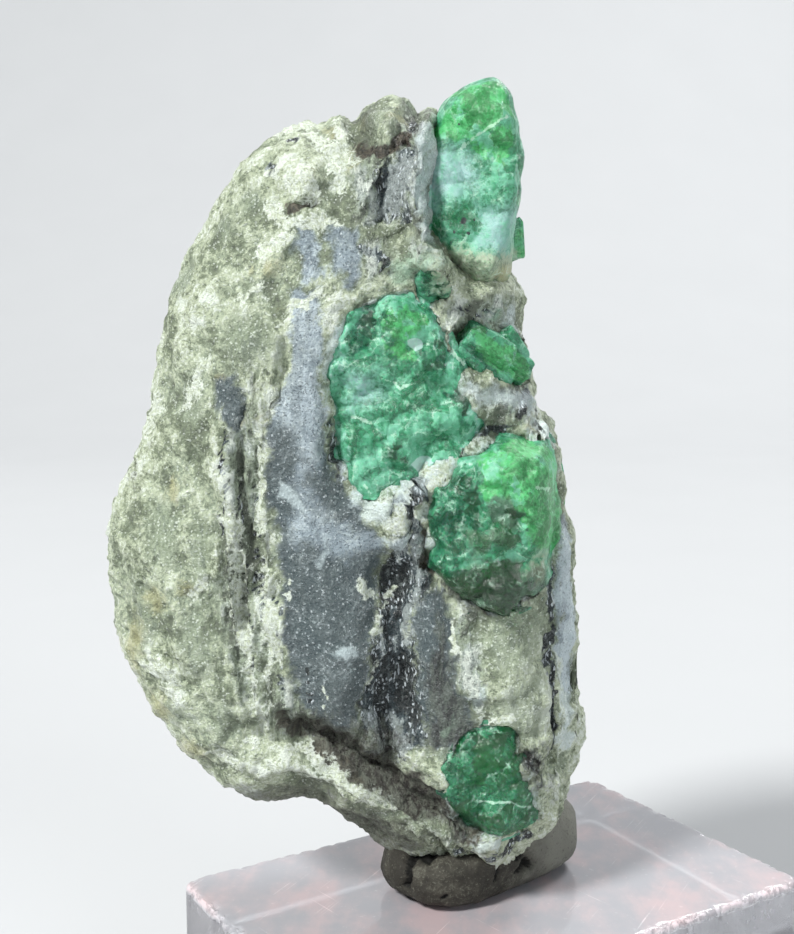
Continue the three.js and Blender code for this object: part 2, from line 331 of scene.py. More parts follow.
# Ridges (height over 0) and furrows (under 0) of the front in mm, how far they reach, and their lines.
RIDGES = [
    (0.9, 2.4, [(-13, 43), (-13.6, 36), (-13, 28), (-11.5, 18)]),  # the quartz band
    (-1.5, 1.5, [(-7.8, 25), (-7.3, 19), (-7.6, 12)]),  # the mica valley
    (-1.0, 1.6, [(-16.5, 13.6), (-11, 11.6), (-5, 7.4)]),  # the hollow over the lower limb
    (0.7, 4.0, [(-20, 40), (-22, 28), (-19, 15)]),  # the swell of the left side
    (-0.5, 0.4, [(-14.5, 42), (-14.7, 38), (-15.4, 35.2), (-16.5, 32), (-16.8, 27), (-16.4, 21)]),
    (0.3, 0.35, [(-15, 36.4), (-16, 33), (-16.1, 29), (-15.9, 24)]),  # cream seam on the band's edge
    (-0.9, 0.7, [(-11.2, 37.5), (-11.5, 34), (-10.8, 30.6)]),  # groove on the band's right
    # The brown fissure.
    (-1.3, 0.8, [(-14.6, 14.2), (-11, 13), (-8, 10.8), (-5.5, 8.7), (-3.2, 7), (-1.8, 6.2)]),
    (0.8, 0.9, [(-15, 11.6), (-12.6, 10.6), (-9.8, 9.2), (-7.4, 8.2), (-4.5, 6.2)]),  # edge of the limb
    (-1.0, 0.9, [(-6.4, 52.6), (-7.5, 50.6), (-8.4, 48.5)]),  # the mica lens near the top
    (0.4, 0.3, [(-7.9, 52.6), (-8.9, 50.2), (-9.4, 48), (-8, 47.3), (-6.8, 48.2)]),  # its rim
    (-1.6, 0.5, [(-10.1, 57), (-10.2, 54.8), (-9.6, 53.6)]),  # gap left of the quartz knob
    (-0.8, 0.45, [(-5.8, 57), (-6.1, 54.6), (-6.5, 53.2)]),  # gap right of it
    (-0.5, 0.4, [(-9.2, 53.6), (-7.9, 53.1), (-6.4, 53.4)]),  # under it
    (-0.9, 0.35, [(3.5, 30), (3.6, 24), (3.5, 17), (3.7, 8)]),  # crack before the thin rear slab
    (-0.4, 0.3, [(-17.8, 26), (-17.6, 20), (-17, 15.5)]),
    (0.35, 0.3, [(-18.6, 29), (-18.3, 24), (-17.3, 18), (-16.6, 14.6)]),
    (-0.4, 0.35, [(-17.2, 36), (-17.6, 32.4), (-17.3, 28)]),
    (-0.9, 0.8, [(-5.2, 32.6), (-5.9, 29.5), (-5.3, 25.8), (-3.4, 22.8)]),  # hollow round the dome
    (0.45, 0.25, [(-4.9, 32.4), (-5.9, 30.4), (-6.2, 28), (-5.7, 26)]),  # laminations wrapping it
    (0.4, 0.25, [(-6, 32), (-7, 29.6), (-7, 27.2)]),
    (-0.3, 0.6, [(-3.6, 42.2), (-2.4, 42.6), (-0.5, 42)]),  # brown hollow under the crown
    (-0.6, 0.5, [(-1.6, 34.5), (0.4, 34.2), (1.6, 33.7)]),
    (0.5, 0.6, [(-8.6, 30), (-7.4, 28.6), (-5.4, 30.9)]),  # pale rim under the heart
    (-0.6, 0.5, [(0.9, 13.4), (2.4, 11.5), (2.7, 8.6)]),
    (0.45, 0.5, [(3.9, 34), (4.2, 30), (4.3, 26)]),
    # Schist on the crown's edge.
    (4.4, 1.1, [(-5.2, 55.2), (-5.6, 52.6), (-5.9, 50), (-5.7, 47.8), (-4.6, 45.4)]),
    (1.2, 0.9, [(-4.2, 44.6), (-2, 43.8), (0.2, 44)]),
    (-0.5, 0.5, [(-12.6, 49.2), (-14.2, 49.4), (-15.2, 50.6)]),
    (0.5, 0.6, [(-14.4, 47.2), (-15.3, 45.6), (-16.6, 43.9)]),
    (0.4, 0.5, [(-21.5, 42), (-21.9, 38.4), (-22.7, 34.8)]),
    (-0.35, 0.4, [(-20.5, 33.4), (-21.6, 29), (-21.3, 25)]),
    (-0.4, 0.5, [(-24.6, 26), (-23.6, 20.6), (-20.5, 16)]),
]
# Rounded swellings and hollows of the front: height, middle in X and Z, and size in X and Z.
SWELLINGS = [
    (1.3, (-7.9, 55.4), (1.5, 1.3)),  # the quartz knob
    (0.9, (-16.8, 40.6), (2.3, 2.3)),
    (0.6, (-21, 36.6), (1.3, 1.9)),
    (0.6, (-16.7, 49.6), (1.1, 1.2)),
    (0.7, (-18.5, 47.8), (1.2, 1.3)),
    (0.7, (-13, 50.8), (1.1, 1.3)),
    (0.5, (-13.4, 53.6), (1.2, 0.9)),
    (-0.5, (-15.3, 51.9), (0.7, 0.6)),
    (-0.5, (-14.2, 53.5), (0.5, 0.4)),
    (0.5, (-19.6, 43.6), (1.4, 1.1)),
    (-0.3, (-17.2, 34), (1.0, 1.1)),
    (0.6, (-24.8, 27.2), (1.3, 2.4)),
    (0.5, (-22.2, 22), (1.6, 2.2)),
    (0.4, (-24.4, 17.6), (1.4, 1.6)),
    (0.5, (-20.2, 12.6), (1.6, 1.1)),
    (0.4, (-18.6, 31), (0.9, 1.5)),
    (-0.5, (-13, 22.2), (1.6, 1.8)),
    (0.5, (-10.8, 19.6), (0.8, 0.55)),
    (0.4, (-11, 17), (0.9, 1.8)),
    (0.8, (-4.9, 19), (1.1, 2.6)),  # grey lens right of the valley
    (0.5, (-1.8, 16.4), (0.7, 0.6)),
    (-0.6, (-1.8, 15.8), (0.25, 0.2)),
    (0.5, (1, 20), (2.0, 3.4)),
    (-0.5, (-1.6, 20.5), (0.8, 2.2)),
    (0.7, (0.8, 36.2), (1.0, 1.2)),
    (0.5, (-1.8, 36.4), (0.9, 1.0)),
    (0.5, (-6.4, 45.6), (1.1, 1.2)),
    (0.5, (-10.4, 45.6), (0.9, 1.5)),
    (0.4, (-1.2, 5.4), (0.9, 0.5)),
]


def rim_round(away, width):
    """How far a face stands out at a distance from its rim: a quarter circle, then 1."""
    return np.sqrt(1 - (1 - np.minimum(away / width, 1)) ** 2)


SLAB_CURVE = rounded(SLAB_OUTLINE, 5)


def front_depth(x, z):
    """How far the stone's front stands before the plane of its outline, before any crystal is let in:
    the rounded face with its ridges and swellings added to its height."""
    relief = sum(height * stroke(line, reach, x, z) for height, reach, line in RIDGES)
    relief = relief + swollen(SWELLINGS, x, z)
    return (SLAB_FRONT + relief) * rim_round(np.maximum(inward(SLAB_CURVE, x, z), 0), FRONT_RIM)


HEART = [
    (-6.8, 43.6), (-5.3, 43), (-4.2, 41.2), (-3.4, 39), (-2.5, 37.2), (-1.6, 35), (-2.4, 33.3), (-4.4, 32.2),
    (-6, 31), (-7.8, 30.2), (-9.6, 30), (-10.8, 31.4), (-11.4, 35), (-11.5, 38.6), (-10.8, 41), (-9, 42.8),
]
DOME = [
    (0.4, 34.1), (2.8, 33.7), (4.1, 31.4), (4.3, 28.6), (3.7, 25.4), (2.3, 23.2), (-0.6, 22.5), (-3.2, 23.3),
    (-4.8, 25.8), (-5.2, 28.6), (-4.3, 31.2), (-2.2, 33.1),
]
FOOT = [
    (-2.6, 13.5), (-0.8, 14), (0.9, 13.4), (1.5, 11), (2.6, 8.8), (2.9, 7.2), (1.6, 6.3), (-0.8, 5.9),
    (-2.8, 6.9), (-3.7, 9), (-3.9, 11.6),
]
FLANK = [(-3.8, 41), (-2.4, 42), (0.4, 41.2), (2, 39.8), (2.2, 37.4), (0.2, 37.3), (-2.6, 38), (-3.6, 39.4)]
BUD = [(-5.9, 44.3), (-5.3, 45.1), (-4.5, 45.3), (-3.8, 44.7), (-3.7, 43.7), (-4.5, 43.2), (-5.5, 43.4)]

# Hollows that hold crystals: outline, and how deep the floor lies under the face in mm.
POCKETS = [(HEART, 1.9), (DOME, 2.4), (FOOT, 1.6), (BUD, 1.0), (FLANK, 1.7)]

BACK_FURROW = [(-16, 50), (-13, 30), (-15, 10)]

SLAB_COLUMNS = 330
FRONT_SAMPLES, BACK_SAMPLES = 242, 58
EDGE_SAMPLES = 14  # of each column's samples, at each end, crowded together where the face turns over
EDGE_WIDTH = 2.0


def spread(height, count):
    """Steps up columns of the given heights: evenly spaced, but by squares within a narrow edge."""
    edge = np.minimum(EDGE_WIDTH, 0.2 * height)[:, None]
    near = edge * (np.arange(EDGE_SAMPLES) / EDGE_SAMPLES) ** 2
    share = np.linspace(0, 1, count - 2 * EDGE_SAMPLES)
    inner = edge + (height[:, None] - 2 * edge) * share
    return np.concatenate([near, inner, height[:, None] - near[:, ::-1]], 1)


def slab_columns():
    """Places of the columns in X and the Z of the outline under and over each one. The columns are closer
    together where the outline is steep, so that each takes an equal run of it."""
    left, right = SLAB_CURVE[:, 0].argmin(), SLAB_CURVE[:, 0].argmax()
    from_left = np.roll(SLAB_CURVE, -left, 0)
    turn = (right - left) % len(SLAB_CURVE)
    top, bottom = from_left[: turn + 1], np.vstack([from_left[turn:], from_left[:1]])[::-1]
    top_x, bottom_x = np.maximum.accumulate(top[:, 0]), np.maximum.accumulate(bottom[:, 0])
    x = np.linspace(top_x[0], top_x[-1], 4000)
    high, low = np.interp(x, top_x, top[:, 1]), np.interp(x, bottom_x, bottom[:, 1])
    steepest = np.maximum(np.abs(np.gradient(high, x)), np.abs(np.gradient(low, x)))
    run = np.cumsum(np.hypot(1, steepest))
    places = np.interp(np.linspace(run[0], run[-1], SLAB_COLUMNS + 2), run, x)
    return places, np.interp(places, bottom_x, bottom[:, 1]), np.interp(places, top_x, top[:, 1])


def slab_surface():
    """Closed loops of the stone at each column, up its front and down its back, with a pole at each end.
    The front is the face's height with the crystals' pockets sunk in it, and the back is a rounded face
    with broad lumps. Every point then moves along the surface's normal by grain and foliation."""
    x, low, high = slab_columns()
    poles = [np.array([x[i], 0, (low[i] + high[i]) / 2]) for i in (0, -1)]
    x, low, high = x[1:-1], low[1:-1], high[1:-1]
    front_z = low[:, None] + spread(high - low, FRONT_SAMPLES)
    back_z = (low[:, None] + spread(high - low, BACK_SAMPLES))[:, ::-1][:, 1:-1]
    front_x = np.broadcast_to(x[:, None], front_z.shape)
    back_x = np.broadcast_to(x[:, None], back_z.shape)
    depth = front_depth(front_x, front_z)
    for outline, floor in POCKETS:
        depth = depth - floor * smooth(ragged(rounded(outline, 6), front_x, front_z), 0.05, 0.55)
    back = np.stack([back_x, np.zeros_like(back_x), back_z], -1)
    swell = 1.1 * crags(back, 9, 71, 3) - 0.5 * stroke(BACK_FURROW, 2, back_x, back_z)
    away = distance(SLAB_CURVE, back_x, back_z, closed=True)
    back_y = (SLAB_BACK + swell) * rim_round(away, BACK_RIM)
    front = np.stack([front_x, -depth, front_z], -1)
    back = np.stack([back_x, back_y, back_z], -1)
    rings = np.concatenate([front, back], 1)
    return poles, rings


# ---------------------------------------------------------------------------------------------------
# The stone: its minerals. Outlines and lines in X and Z of where each one shows on the front.
# ---------------------------------------------------------------------------------------------------

QUARTZ_AREAS = [
    [  # the long bluish band
        (-13.4, 44), (-14.2, 41.2), (-14.1, 38.6), (-14.8, 36.6), (-15.5, 34.6), (-15.7, 31), (-15.4, 28),
        (-15, 24), (-14.6, 20), (-13.8, 16), (-12, 13.8), (-10.4, 14), (-9.6, 16.5), (-9.3, 19), (-8.9, 22),
        (-8.5, 25), (-8.3, 27.4), (-9.4, 29.4), (-10.6, 30.4), (-11.7, 31.8), (-12.2, 34), (-12.1, 38),
        (-12, 41), (-12.2, 43.6),
    ],
    [(-14, 48.4), (-13.8, 46), (-13, 44.4), (-12, 44.6), (-12.3, 46.4), (-12.6, 47.4), (-13.4, 48.4)],
    [(-11.6, 47.6), (-11.3, 45.4), (-10.6, 43.8), (-9.7, 44.4), (-9.3, 46.8), (-9.8, 48)],
    [(-6.1, 16), (-6, 20), (-5.6, 23.6), (-4, 23.4), (-3.4, 21), (-3.2, 17.6), (-2.4, 15.4), (-1.4, 13.4),
     (-4.4, 12.6), (-5, 14.4)],
    [(3.9, 29), (4.9, 28), (5.4, 20), (5.5, 15), (4.3, 16), (3.9, 20)],
    [(-18.9, 38), (-17.6, 38.8), (-17.1, 36), (-17.8, 34.2), (-18.9, 35.4)],
]
SLATE_AREAS = [  # where the quartz darkens
    [(-15.4, 27), (-12.4, 26.4), (-10.4, 25.6), (-8.2, 26), (-8.6, 20), (-9.4, 13), (-13, 12.6), (-15.4, 18)],
    [(-6.6, 15.8), (-6.2, 20), (-5.6, 24), (-3.8, 23.4), (-2.2, 17), (-1.2, 13), (-5, 12.2)],
    [(-15, 34.4), (-14.2, 34), (-13.9, 30), (-15.2, 28), (-16, 32)],
    [(-18.9, 38), (-17.6, 38.4), (-17.1, 36), (-17.8, 34.2), (-18.9, 35.4)],
    [(-9, 49.8), (-7.4, 47.6), (-6, 50), (-6, 53), (-7.6, 52.4)],
    [(-11.8, 33), (-12.8, 31), (-11.4, 29.4), (-9.6, 28.6), (-8, 28), (-9, 30.4)],
]
PALE_QUARTZ_AND_PAINTED_LIGHT_LINES = [  # milky quartz round the crystals, and pale lines of painted light on two shaded stretches: reach and line
    (0.8, [(-9.6, 30), (-8, 29), (-5.6, 31.4)]),
    (0.5, [(-11.3, 36.5), (-11.5, 39.5), (-10.6, 41.8), (-8.8, 43)]),
    # painted light: lightens the shaded flank of stone left of the crown
    (0.6, [(-5.3, 54.2), (-5.4, 50.4), (-4.9, 47)]),
    (0.4, [(-12, 27.2), (-12.5, 25.8)]),
    (0.5, [(-14.2, 30.8), (-13.7, 29.5)]),
    (0.4, [(-11.3, 19.6), (-10.2, 19.7)]),
    (0.35, [(-8.6, 27.6), (-7.4, 26.6), (-6.6, 28.4)]),
    (0.5, [(-2.3, 16.2), (-1.4, 16.6)]),
    (0.4, [(-1.7, 5.4), (-0.3, 5.4)]),
    (0.35, [(-5.9, 32.2), (-4.6, 32.6)]),
    (0.8, [(-2.4, 36.8), (-0.8, 37.2), (1.2, 36)]),
    # pale quartz of the thin rear slab, lightened further as painted light because it lies in shade
    (0.8, [(4.4, 27), (4.9, 20), (4.8, 12)]),
    (0.8, [(0.4, 42.4), (1, 40.6)]),
    (0.7, [(2.2, 35), (3.4, 33.8)]),
]
MICA_AREAS = [
    [  # the dark valley
        (-9.3, 13.6), (-9.6, 16), (-9.1, 19), (-8.7, 22), (-8.2, 25.2), (-7.4, 28), (-6.4, 28.6), (-5.4, 26),
        (-4.8, 24.2), (-6, 23), (-6.3, 19.5), (-5.7, 16), (-5.2, 13.6), (-6.4, 12), (-8.4, 11.8),
    ],
    [(-6.1, 53), (-5.8, 51.3), (-6.9, 48.6), (-8.8, 47.9), (-8.9, 49.6), (-8.2, 51.4), (-7.2, 52.8)],
    [(1.4, 12.4), (2.6, 12.4), (3, 9.4), (2.2, 9), (1.7, 11)],
]
MICA_LINES = [
    (0.35, [(-11.7, 35.4), (-11.5, 33), (-11, 31.4)]),
    (0.4, [(-1.8, 34.2), (0.2, 34.4)]),
    (0.1, [(-18.8, 34), (-18.6, 31), (-18.9, 27.6)]),
    (0.07, [(-17.9, 33), (-17.6, 30), (-17.9, 27)]),
    (0.08, [(-17.2, 26), (-17.1, 22), (-16.6, 17)]),
    (0.08, [(-16.6, 31), (-16.6, 26), (-16.2, 21)]),
    (0.1, [(-15.4, 24), (-15.2, 20), (-14.6, 16)]),
    (0.08, [(-13.6, 20), (-13.4, 17), (-12.8, 15)]),
    (0.3, [(-5.3, 31.6), (-6.2, 29.4), (-6.1, 27)]),
    (0.3, [(-6.5, 31), (-7.3, 29)]),
    (0.3, [(-15.6, 51.8), (-15.2, 51.6)]),
    (0.25, [(-14.4, 53.4), (-14.1, 53.4)]),
    (0.35, [(-9.2, 46.6), (-8.4, 46), (-8, 45.2)]),
    (0.15, [(-3, 42.5), (-1, 42.2)]),
    (0.25, [(-3.2, 5), (-1.2, 4.4), (0.8, 4.5), (2.4, 5.4)]),
    (0.3, [(3.5, 28), (3.5, 20), (3.6, 12)]),
    (0.2, [(-7.2, 53), (-6.2, 53.6), (-5.9, 55)]),
    (0.45, [(-13, 13.4), (-10.5, 12.4), (-8.6, 11)]),
    (0.3, [(0.5, 35.4), (1.3, 36.8)]),
]
SPECKLE_AREAS = [  # black and white mica schist
    [(-9.8, 54), (-7.4, 53.6), (-7.6, 51), (-8.8, 47.8), (-10.2, 48.6), (-10, 51)],
    [(-9.4, 47.4), (-7.8, 47.4), (-7.6, 45), (-9.2, 44.2)],
    [(-18.8, 36.4), (-16.2, 37), (-16, 33), (-16.4, 27), (-17.6, 16), (-18.8, 24), (-18.6, 32)],
    [(-3.2, 23.4), (-1.8, 22.6), (-1.4, 18), (-1.4, 14.4), (-3.2, 16.5), (-3.6, 20)],
    [(-1.2, 37.8), (1.7, 37.8), (1.7, 34.8), (-0.6, 34.8)],
    [(-4.2, 43.2), (0.4, 43.4), (0.4, 41.4), (-4, 41.2)],
    [(-6.9, 56.8), (-4.2, 56.8), (-4.3, 53), (-5, 48), (-4.6, 45.6), (-6.4, 45.6), (-7.2, 50)],
    [(-12, 17), (-9.6, 16), (-9.4, 12.6), (-14, 13.6), (-15.6, 16), (-14, 19)],
]
# cream crust and seams, with painted highlights along the left rim and the top edge of the lower limb: reach
# and line
CREAM_LINES = [
    (0.3, [(-15.3, 36.4), (-16.1, 33.2), (-16.2, 28)]),
    (0.25, [(-16, 28), (-15.8, 23), (-15, 18.5)]),
    (0.5, [(-18.4, 30), (-17.9, 25), (-17.1, 18.5), (-16.3, 14.4)]),
    (0.28, [(-16.4, 26), (-15.9, 21), (-15.5, 16)]),
    (0.22, [(-14.7, 25), (-14.5, 23.2)]),
    (0.16, [(-12.1, 17.6), (-12, 16)]),
    (0.5, [(-21.6, 36), (-20.8, 37.6), (-19.8, 39)]),
    (0.6, [(-21, 23.6), (-19.8, 24.6)]),
    (0.7, [(-13.2, 54.2), (-11.4, 53), (-11, 50.8)]),
    # painted highlight along the left rim
    (0.6, [(-24, 36.4), (-25, 33), (-26.2, 30.2)]),
    (0.7, [(-16, 46.6), (-14.8, 47)]),
    (0.5, [(-17.2, 43.6), (-15.8, 43.8)]),
    (0.7, [(-10.8, 55), (-10.6, 52.6)]),
    (0.9, [(-13.6, 51.6), (-12.8, 50)]),
    (0.6, [(-15.6, 49.2), (-14.2, 48.2), (-11.2, 48)]),
    (0.9, [(-23.2, 18.2), (-22.4, 16.4)]),
    (0.6, [(-20, 12.2), (-17.8, 11.4)]),
    # painted highlight along the top edge of the lower limb
    (0.5, [(-14.6, 11), (-12, 10.1), (-9.6, 9.4), (-7.4, 8.4)]),
    (0.32, [(-8.6, 18.8), (-8.9, 17.6), (-9.1, 17)]),
    (0.26, [(-8.9, 21.8), (-9, 20.8)]),
    (0.22, [(-7.8, 23.6), (-8.2, 22.6)]),
    (0.5, [(-14, 12.6), (-12.2, 11.2), (-10.6, 10)]),
    (0.3, [(-3.5, 21.6), (-3.3, 20.6), (-3.1, 19.6)]),
    (0.3, [(-2.9, 22.6), (-2.7, 22.9)]),
    (0.4, [(-1.2, 14.6), (0.2, 14.9)]),
    (0.35, [(4.4, 18), (4.6, 12), (4.2, 8.6)]),
    (0.45, [(0.6, 6.3), (1.8, 6.4)]),
    (0.4, [(-2.6, 36.4), (-1.2, 37.2), (-0.8, 35.8)]),
    (0.4, [(2.3, 35), (3.4, 33.8)]),
    (0.3, [(-6, 31.6), (-7, 29), (-6.4, 26.6)]),
    (0.25, [(-7.2, 31.4), (-8, 29.6), (-7.4, 27.2)]),
    (0.35, [(-6, 30.9), (-4.6, 32.1)]),
    (0.35, [(-14.6, 41.4), (-13.8, 42.8), (-12.4, 43.4), (-10.8, 43.2)]),
    (0.5, [(-9.6, 24), (-9.2, 23.4)]),
    (0.5, [(-19.6, 53.2), (-16.6, 54.6), (-13, 55.4)]),
    (0.35, [(1.6, 41), (1.9, 38.8)]),
]
OLIVE_SPOTS = [  # smooth grey-green quartz: middle and size
    ((-16.8, 40.6), (2.2, 2.1)),
    ((-16.7, 49.5), (0.9, 1.1)),
    ((-18.4, 47.8), (1.1, 1.1)),
    ((-21, 36.6), (0.9, 1.8)),
    ((-24.6, 21.6), (1.0, 3.2)),
    ((-22.6, 14.6), (1.6, 1.2)),
    ((-8.6, 7.4), (1.6, 0.7)),
    ((3.4, 21.6), (0.6, 1.6)),
    ((-20.2, 27), (0.8, 2.6)),
    ((-21.5, 44.5), (0.9, 1.6)),
    ((-8.2, 55.2), (1.6, 0.9)),
    ((-22.8, 27.4), (1.4, 2.6)),
    ((-20.6, 20), (1.2, 2.6)),
    ((-19.2, 14.6), (1.0, 1.6)),
    ((0.6, 20.6), (2.6, 3.4)),
    ((1.4, 15.6), (2.0, 3.0)),
]
OCHRE_SPOTS = [
    ((-15.6, 45.2), (0.6, 0.5)),
    ((-16.8, 45.2), (0.3, 0.4)),
    ((-18.7, 38.2), (0.45, 0.4)),
    ((-17, 35), (0.5, 0.4)),
    ((-15.8, 35.7), (0.3, 0.5)),
    ((-10.2, 52.6), (0.35, 1.3)),
    ((-7.2, 55.4), (0.7, 0.6)),
    ((1.5, 34.6), (0.5, 0.35)),
    ((-11.6, 54.6), (0.6, 0.5)),
    ((-14.6, 42.4), (0.3, 0.3)),
    ((-25.4, 19.4), (0.9, 2.6)),
    ((-23.8, 14.8), (1.0, 1.6)),
    ((-21.6, 11.8), (1.4, 1.0)),
    ((-23.6, 23), (0.9, 0.9)),
    ((-21.2, 24), (0.9, 0.7)),
    ((-9.6, 55), (0.4, 0.5)),
    ((-13, 50.8), (0.6, 0.8)),
    ((-22.4, 30.6), (0.5, 0.8)),
]
GREEN_SPOTS = [  # where the rock is tinted by crystal
    ((-6.8, 45.2), (1.1, 1.3)),
    ((-5.2, 45.4), (0.8, 0.8)),
    ((-5.4, 43.2), (1.0, 0.7)),
    ((-3.2, 32.8), (0.9, 0.5)),
    ((-1, 41.8), (0.8, 0.6)),
    ((3.4, 26), (0.7, 1.2)),
    ((-3.4, 14.4), (0.6, 0.5)),
]
BROWN_LINES = [
    (0.55, [(-14.8, 14.4), (-12.6, 13.8)]),
    (0.95, [(-12.4, 13.5), (-11, 13), (-8, 11), (-5.5, 8.9), (-3.2, 7.2), (-1.8, 6.4)]),
    (0.7, [(-12.6, 12.2), (-9, 10.2), (-6, 8)]),
    # painted shade: brown darkening under the dome's lower edge
    (0.6, [(-3.6, 24.2), (-1.4, 23), (1.6, 23.2), (3, 24.6)]),
    (0.4, [(-9.6, 53.4), (-7.4, 53.2), (-6, 53.8)]),
    (0.4, [(-12.6, 49.4), (-14.2, 49.2)]),
    (0.4, [(-5.2, 25.2), (-5.6, 28)]),
]


# The way the mica leaves run on the front: the X of one leaf at each Z, counted up from the foot.
LEAF_HEIGHTS = [2, 5, 7, 9, 11, 13, 16, 20, 25, 30, 34, 38, 42, 46, 50, 54, 58]
LEAF_PLACES = [
    1.5, -1.5, -4.5, -7.5, -10.5, -12, -12.4, -12.2, -12, -12.4, -13.2, -13.2, -12.8, -12, -10.6, -9.4, -9,
]
# Where the stone is leafy schist, in place of massive quartz and feldspar.
LEAFY_AREAS = [
    [
        (-19.2, 33), (-18.6, 38.6), (-15.4, 39.6), (-14, 36), (-15.4, 33), (-15.2, 26), (-13.6, 16),
        (-9.6, 14), (-8.8, 20), (-8.3, 26), (-6, 32), (-4.8, 27), (-4, 24), (-6, 22), (-5.6, 12), (-2.6, 6),
        (2, 2), (-4, 2.4), (-9, 8.4), (-13.4, 12.2), (-17.2, 13.8), (-19, 20), (-19.6, 27),
    ],
    [(-10.6, 49), (-9.4, 53.8), (-5, 55.4), (-4.4, 50), (-5.2, 46), (-8, 47.4)],
    [(1.6, 14), (3.6, 15), (3.6, 8.6), (1.6, 8.8), (1.4, 11)],
]
PAINTED_SHADE_AREAS = [  # painted shade: darker stretches under ledges, in gaps and hollows and under the dome
    [(-15.6, 15.2), (-11, 15.4), (-8.4, 12.2), (-4.6, 9.4), (-1.6, 6.6), (-3, 5.4), (-8, 8.6), (-12, 11.8)],
    [(-9, 7.6), (-5, 5.8), (-7, 4), (-11, 6.6)],
    [(-5.3, 17.6), (-4.4, 22.4), (-3, 17), (-1.2, 13.2), (-5, 12.4)],
    [(-4.6, 24.6), (0, 24.4), (3, 25.4), (2.6, 23.6), (-0.6, 22.6), (-3.6, 22.8)],
    [(1.4, 12.6), (3, 12.6), (3, 9), (1.6, 9)],
    [(-10, 56.6), (-8.6, 56.8), (-8.6, 54.2), (-9.9, 54)],
    [(-18, 9.4), (-13, 8.6), (-8, 6.4), (-5, 4.4), (-8, 3), (-14, 6.4), (-19, 8)],
    [(-10.6, 14.6), (-6, 13.4), (-7.4, 11), (-10.6, 12.4)],
]


def leaves(x, y, z):
    """The mica leaves as a number from about -1 to 1: hills drawn out along the leaves, from the distance in
    X to a curve that follows them."""
    height = np.linspace(0, 60, 241)
    place = np.interp(height, LEAF_HEIGHTS, LEAF_PLACES)
    reach = 8  # how many steps the curve is smoothed over, each way
    kernel = np.hanning(2 * reach + 1)
    place = np.convolve(np.pad(place, reach, mode="edge"), kernel / kernel.sum(), mode="valid")
    across = x - np.interp(z, height, place)
    sheet = np.stack([across + 0.35 * y, 0.5 * y, z], -1)
    sheet[..., 0] += 0.5 * hills(sheet, 6.0, 20)
    return crags(sheet, (1.5, 3.0, 7.5), 22, 4, gain=0.68)


def minerals(points):
    """Masks from 0 to 1 of each mineral at points of the stone, and one of painted shade; the cream and pale
    masks also carry some painted light. The lines and areas are moved about by small hills, so that none has
    a clean edge. They run back through the stone as leaning layers."""
    y = points[..., 1]
    leaf = leaves(points[..., 0], y, points[..., 2])
    x = points[..., 0] + 0.5 * hills(points, 2.2, 11) + 0.4 * crags(points, 0.9, 12, 3, gain=0.7)
    z = points[..., 2] + 0.5 * hills(points, 2.2, 14) + 0.5 * crags(points, 0.9, 15, 3, gain=0.7)
    lean = np.maximum(y + 3, 0)
    x, z = x + 0.35 * lean, z + 0.2 * lean
    front = smooth(-y, -1.5, 1.5)
    quartz = areas(QUARTZ_AREAS, 1.3, x, z)
    mica = np.maximum(areas(MICA_AREAS, 1.6, x, z), strokes(MICA_LINES, x, z))
    pocket = areas([outline for outline, _ in POCKETS], 1.2, x, z)
    back_leaves = smooth(x, -16, -10) * (1 - front) * 0.8
    leafy = np.maximum(areas(LEAFY_AREAS, 3.0, x, z) * front, back_leaves)
    return {
        "quartz": quartz,
        "slate": areas(SLATE_AREAS, 2.6, x, z),
        # milky quartz, and in two places painted light
        "pale": strokes(PALE_QUARTZ_AND_PAINTED_LIGHT_LINES, x, z) * front,
        "seat": areas((HEART, DOME, FOOT), 1.8, x, z, inset=-0.5) * front,
        "mica": mica * (0.4 + 0.6 * front) * (1 - pocket * front),
        "speckle": np.maximum(areas(SPECKLE_AREAS, 1.8, x, z), 0.5 * leafy) * (1 - quartz),
        # cream crust, and in places painted highlights
        "cream": strokes(CREAM_LINES, x, z),
        "olive": spots(OLIVE_SPOTS, x, z),
        "ochre": spots(OCHRE_SPOTS, x, z),
        "green": spots(GREEN_SPOTS, x, z) * front,
        "brown": strokes(BROWN_LINES, x, z) * front,
        # painted shade, not a mineral: stretches darkened as if in shadow
        "painted_shade": areas(PAINTED_SHADE_AREAS, 1.8, x, z) * front,
        "leafy": leafy,
        "leaf": 0.5 + 0.5 * leaf,
    }


def grain_height(points, mask):
    """How far the stone's surface stands out by grain, in mm: rounded lumps, crust with sharp crests, mica
    leaves where it is leafy, and sugary grain, each as strong as the mineral there has it."""
    smooth_parts = np.clip(mask["quartz"] + mask["olive"] * 0.7, 0, 1)
    leafy = mask["leafy"] * (1 - 0.7 * smooth_parts)
    lumps = crags(points, 5.0, 31, 3)
    crust = 0.4 - np.abs(crags(points, 1.9, 35, 3, gain=0.55))
    grain = crags(points, 0.8, 41, 2, gain=0.7)
    return (
        0.75 * lumps * (1 - 0.45 * smooth_parts)
        + 0.42 * crust * (1 - 0.8 * smooth_parts)
        + 0.5 * (mask["leaf"] * 2 - 1) * (leafy + 0.12)
        + 0.14 * grain * (1.2 - smooth_parts)
    )


def make_stone(material):
    """The stone as one closed surface, with its minerals as attributes."""
    poles, rings = slab_surface()
    mask = minerals(rings)
    normal = outward(rings, poles[0], poles[1])
    height = grain_height(rings, mask)
    rings = rings + normal * height[..., None]
    # the grain's height as a mask: the schist is creamier on its crests and darker in its hollows, the darker
    # hollows being painted shade
    mask["high"] = np.clip(0.5 + height * 1.1, 0, 1)
    masks = {name: np.concatenate([[0], values.ravel(), [0]]) for name, values in mask.items()}
    stone = build("matrix_stone", shell(poles[0], rings, poles[1]), masks)
    finish_piece(stone, material, "matrix")


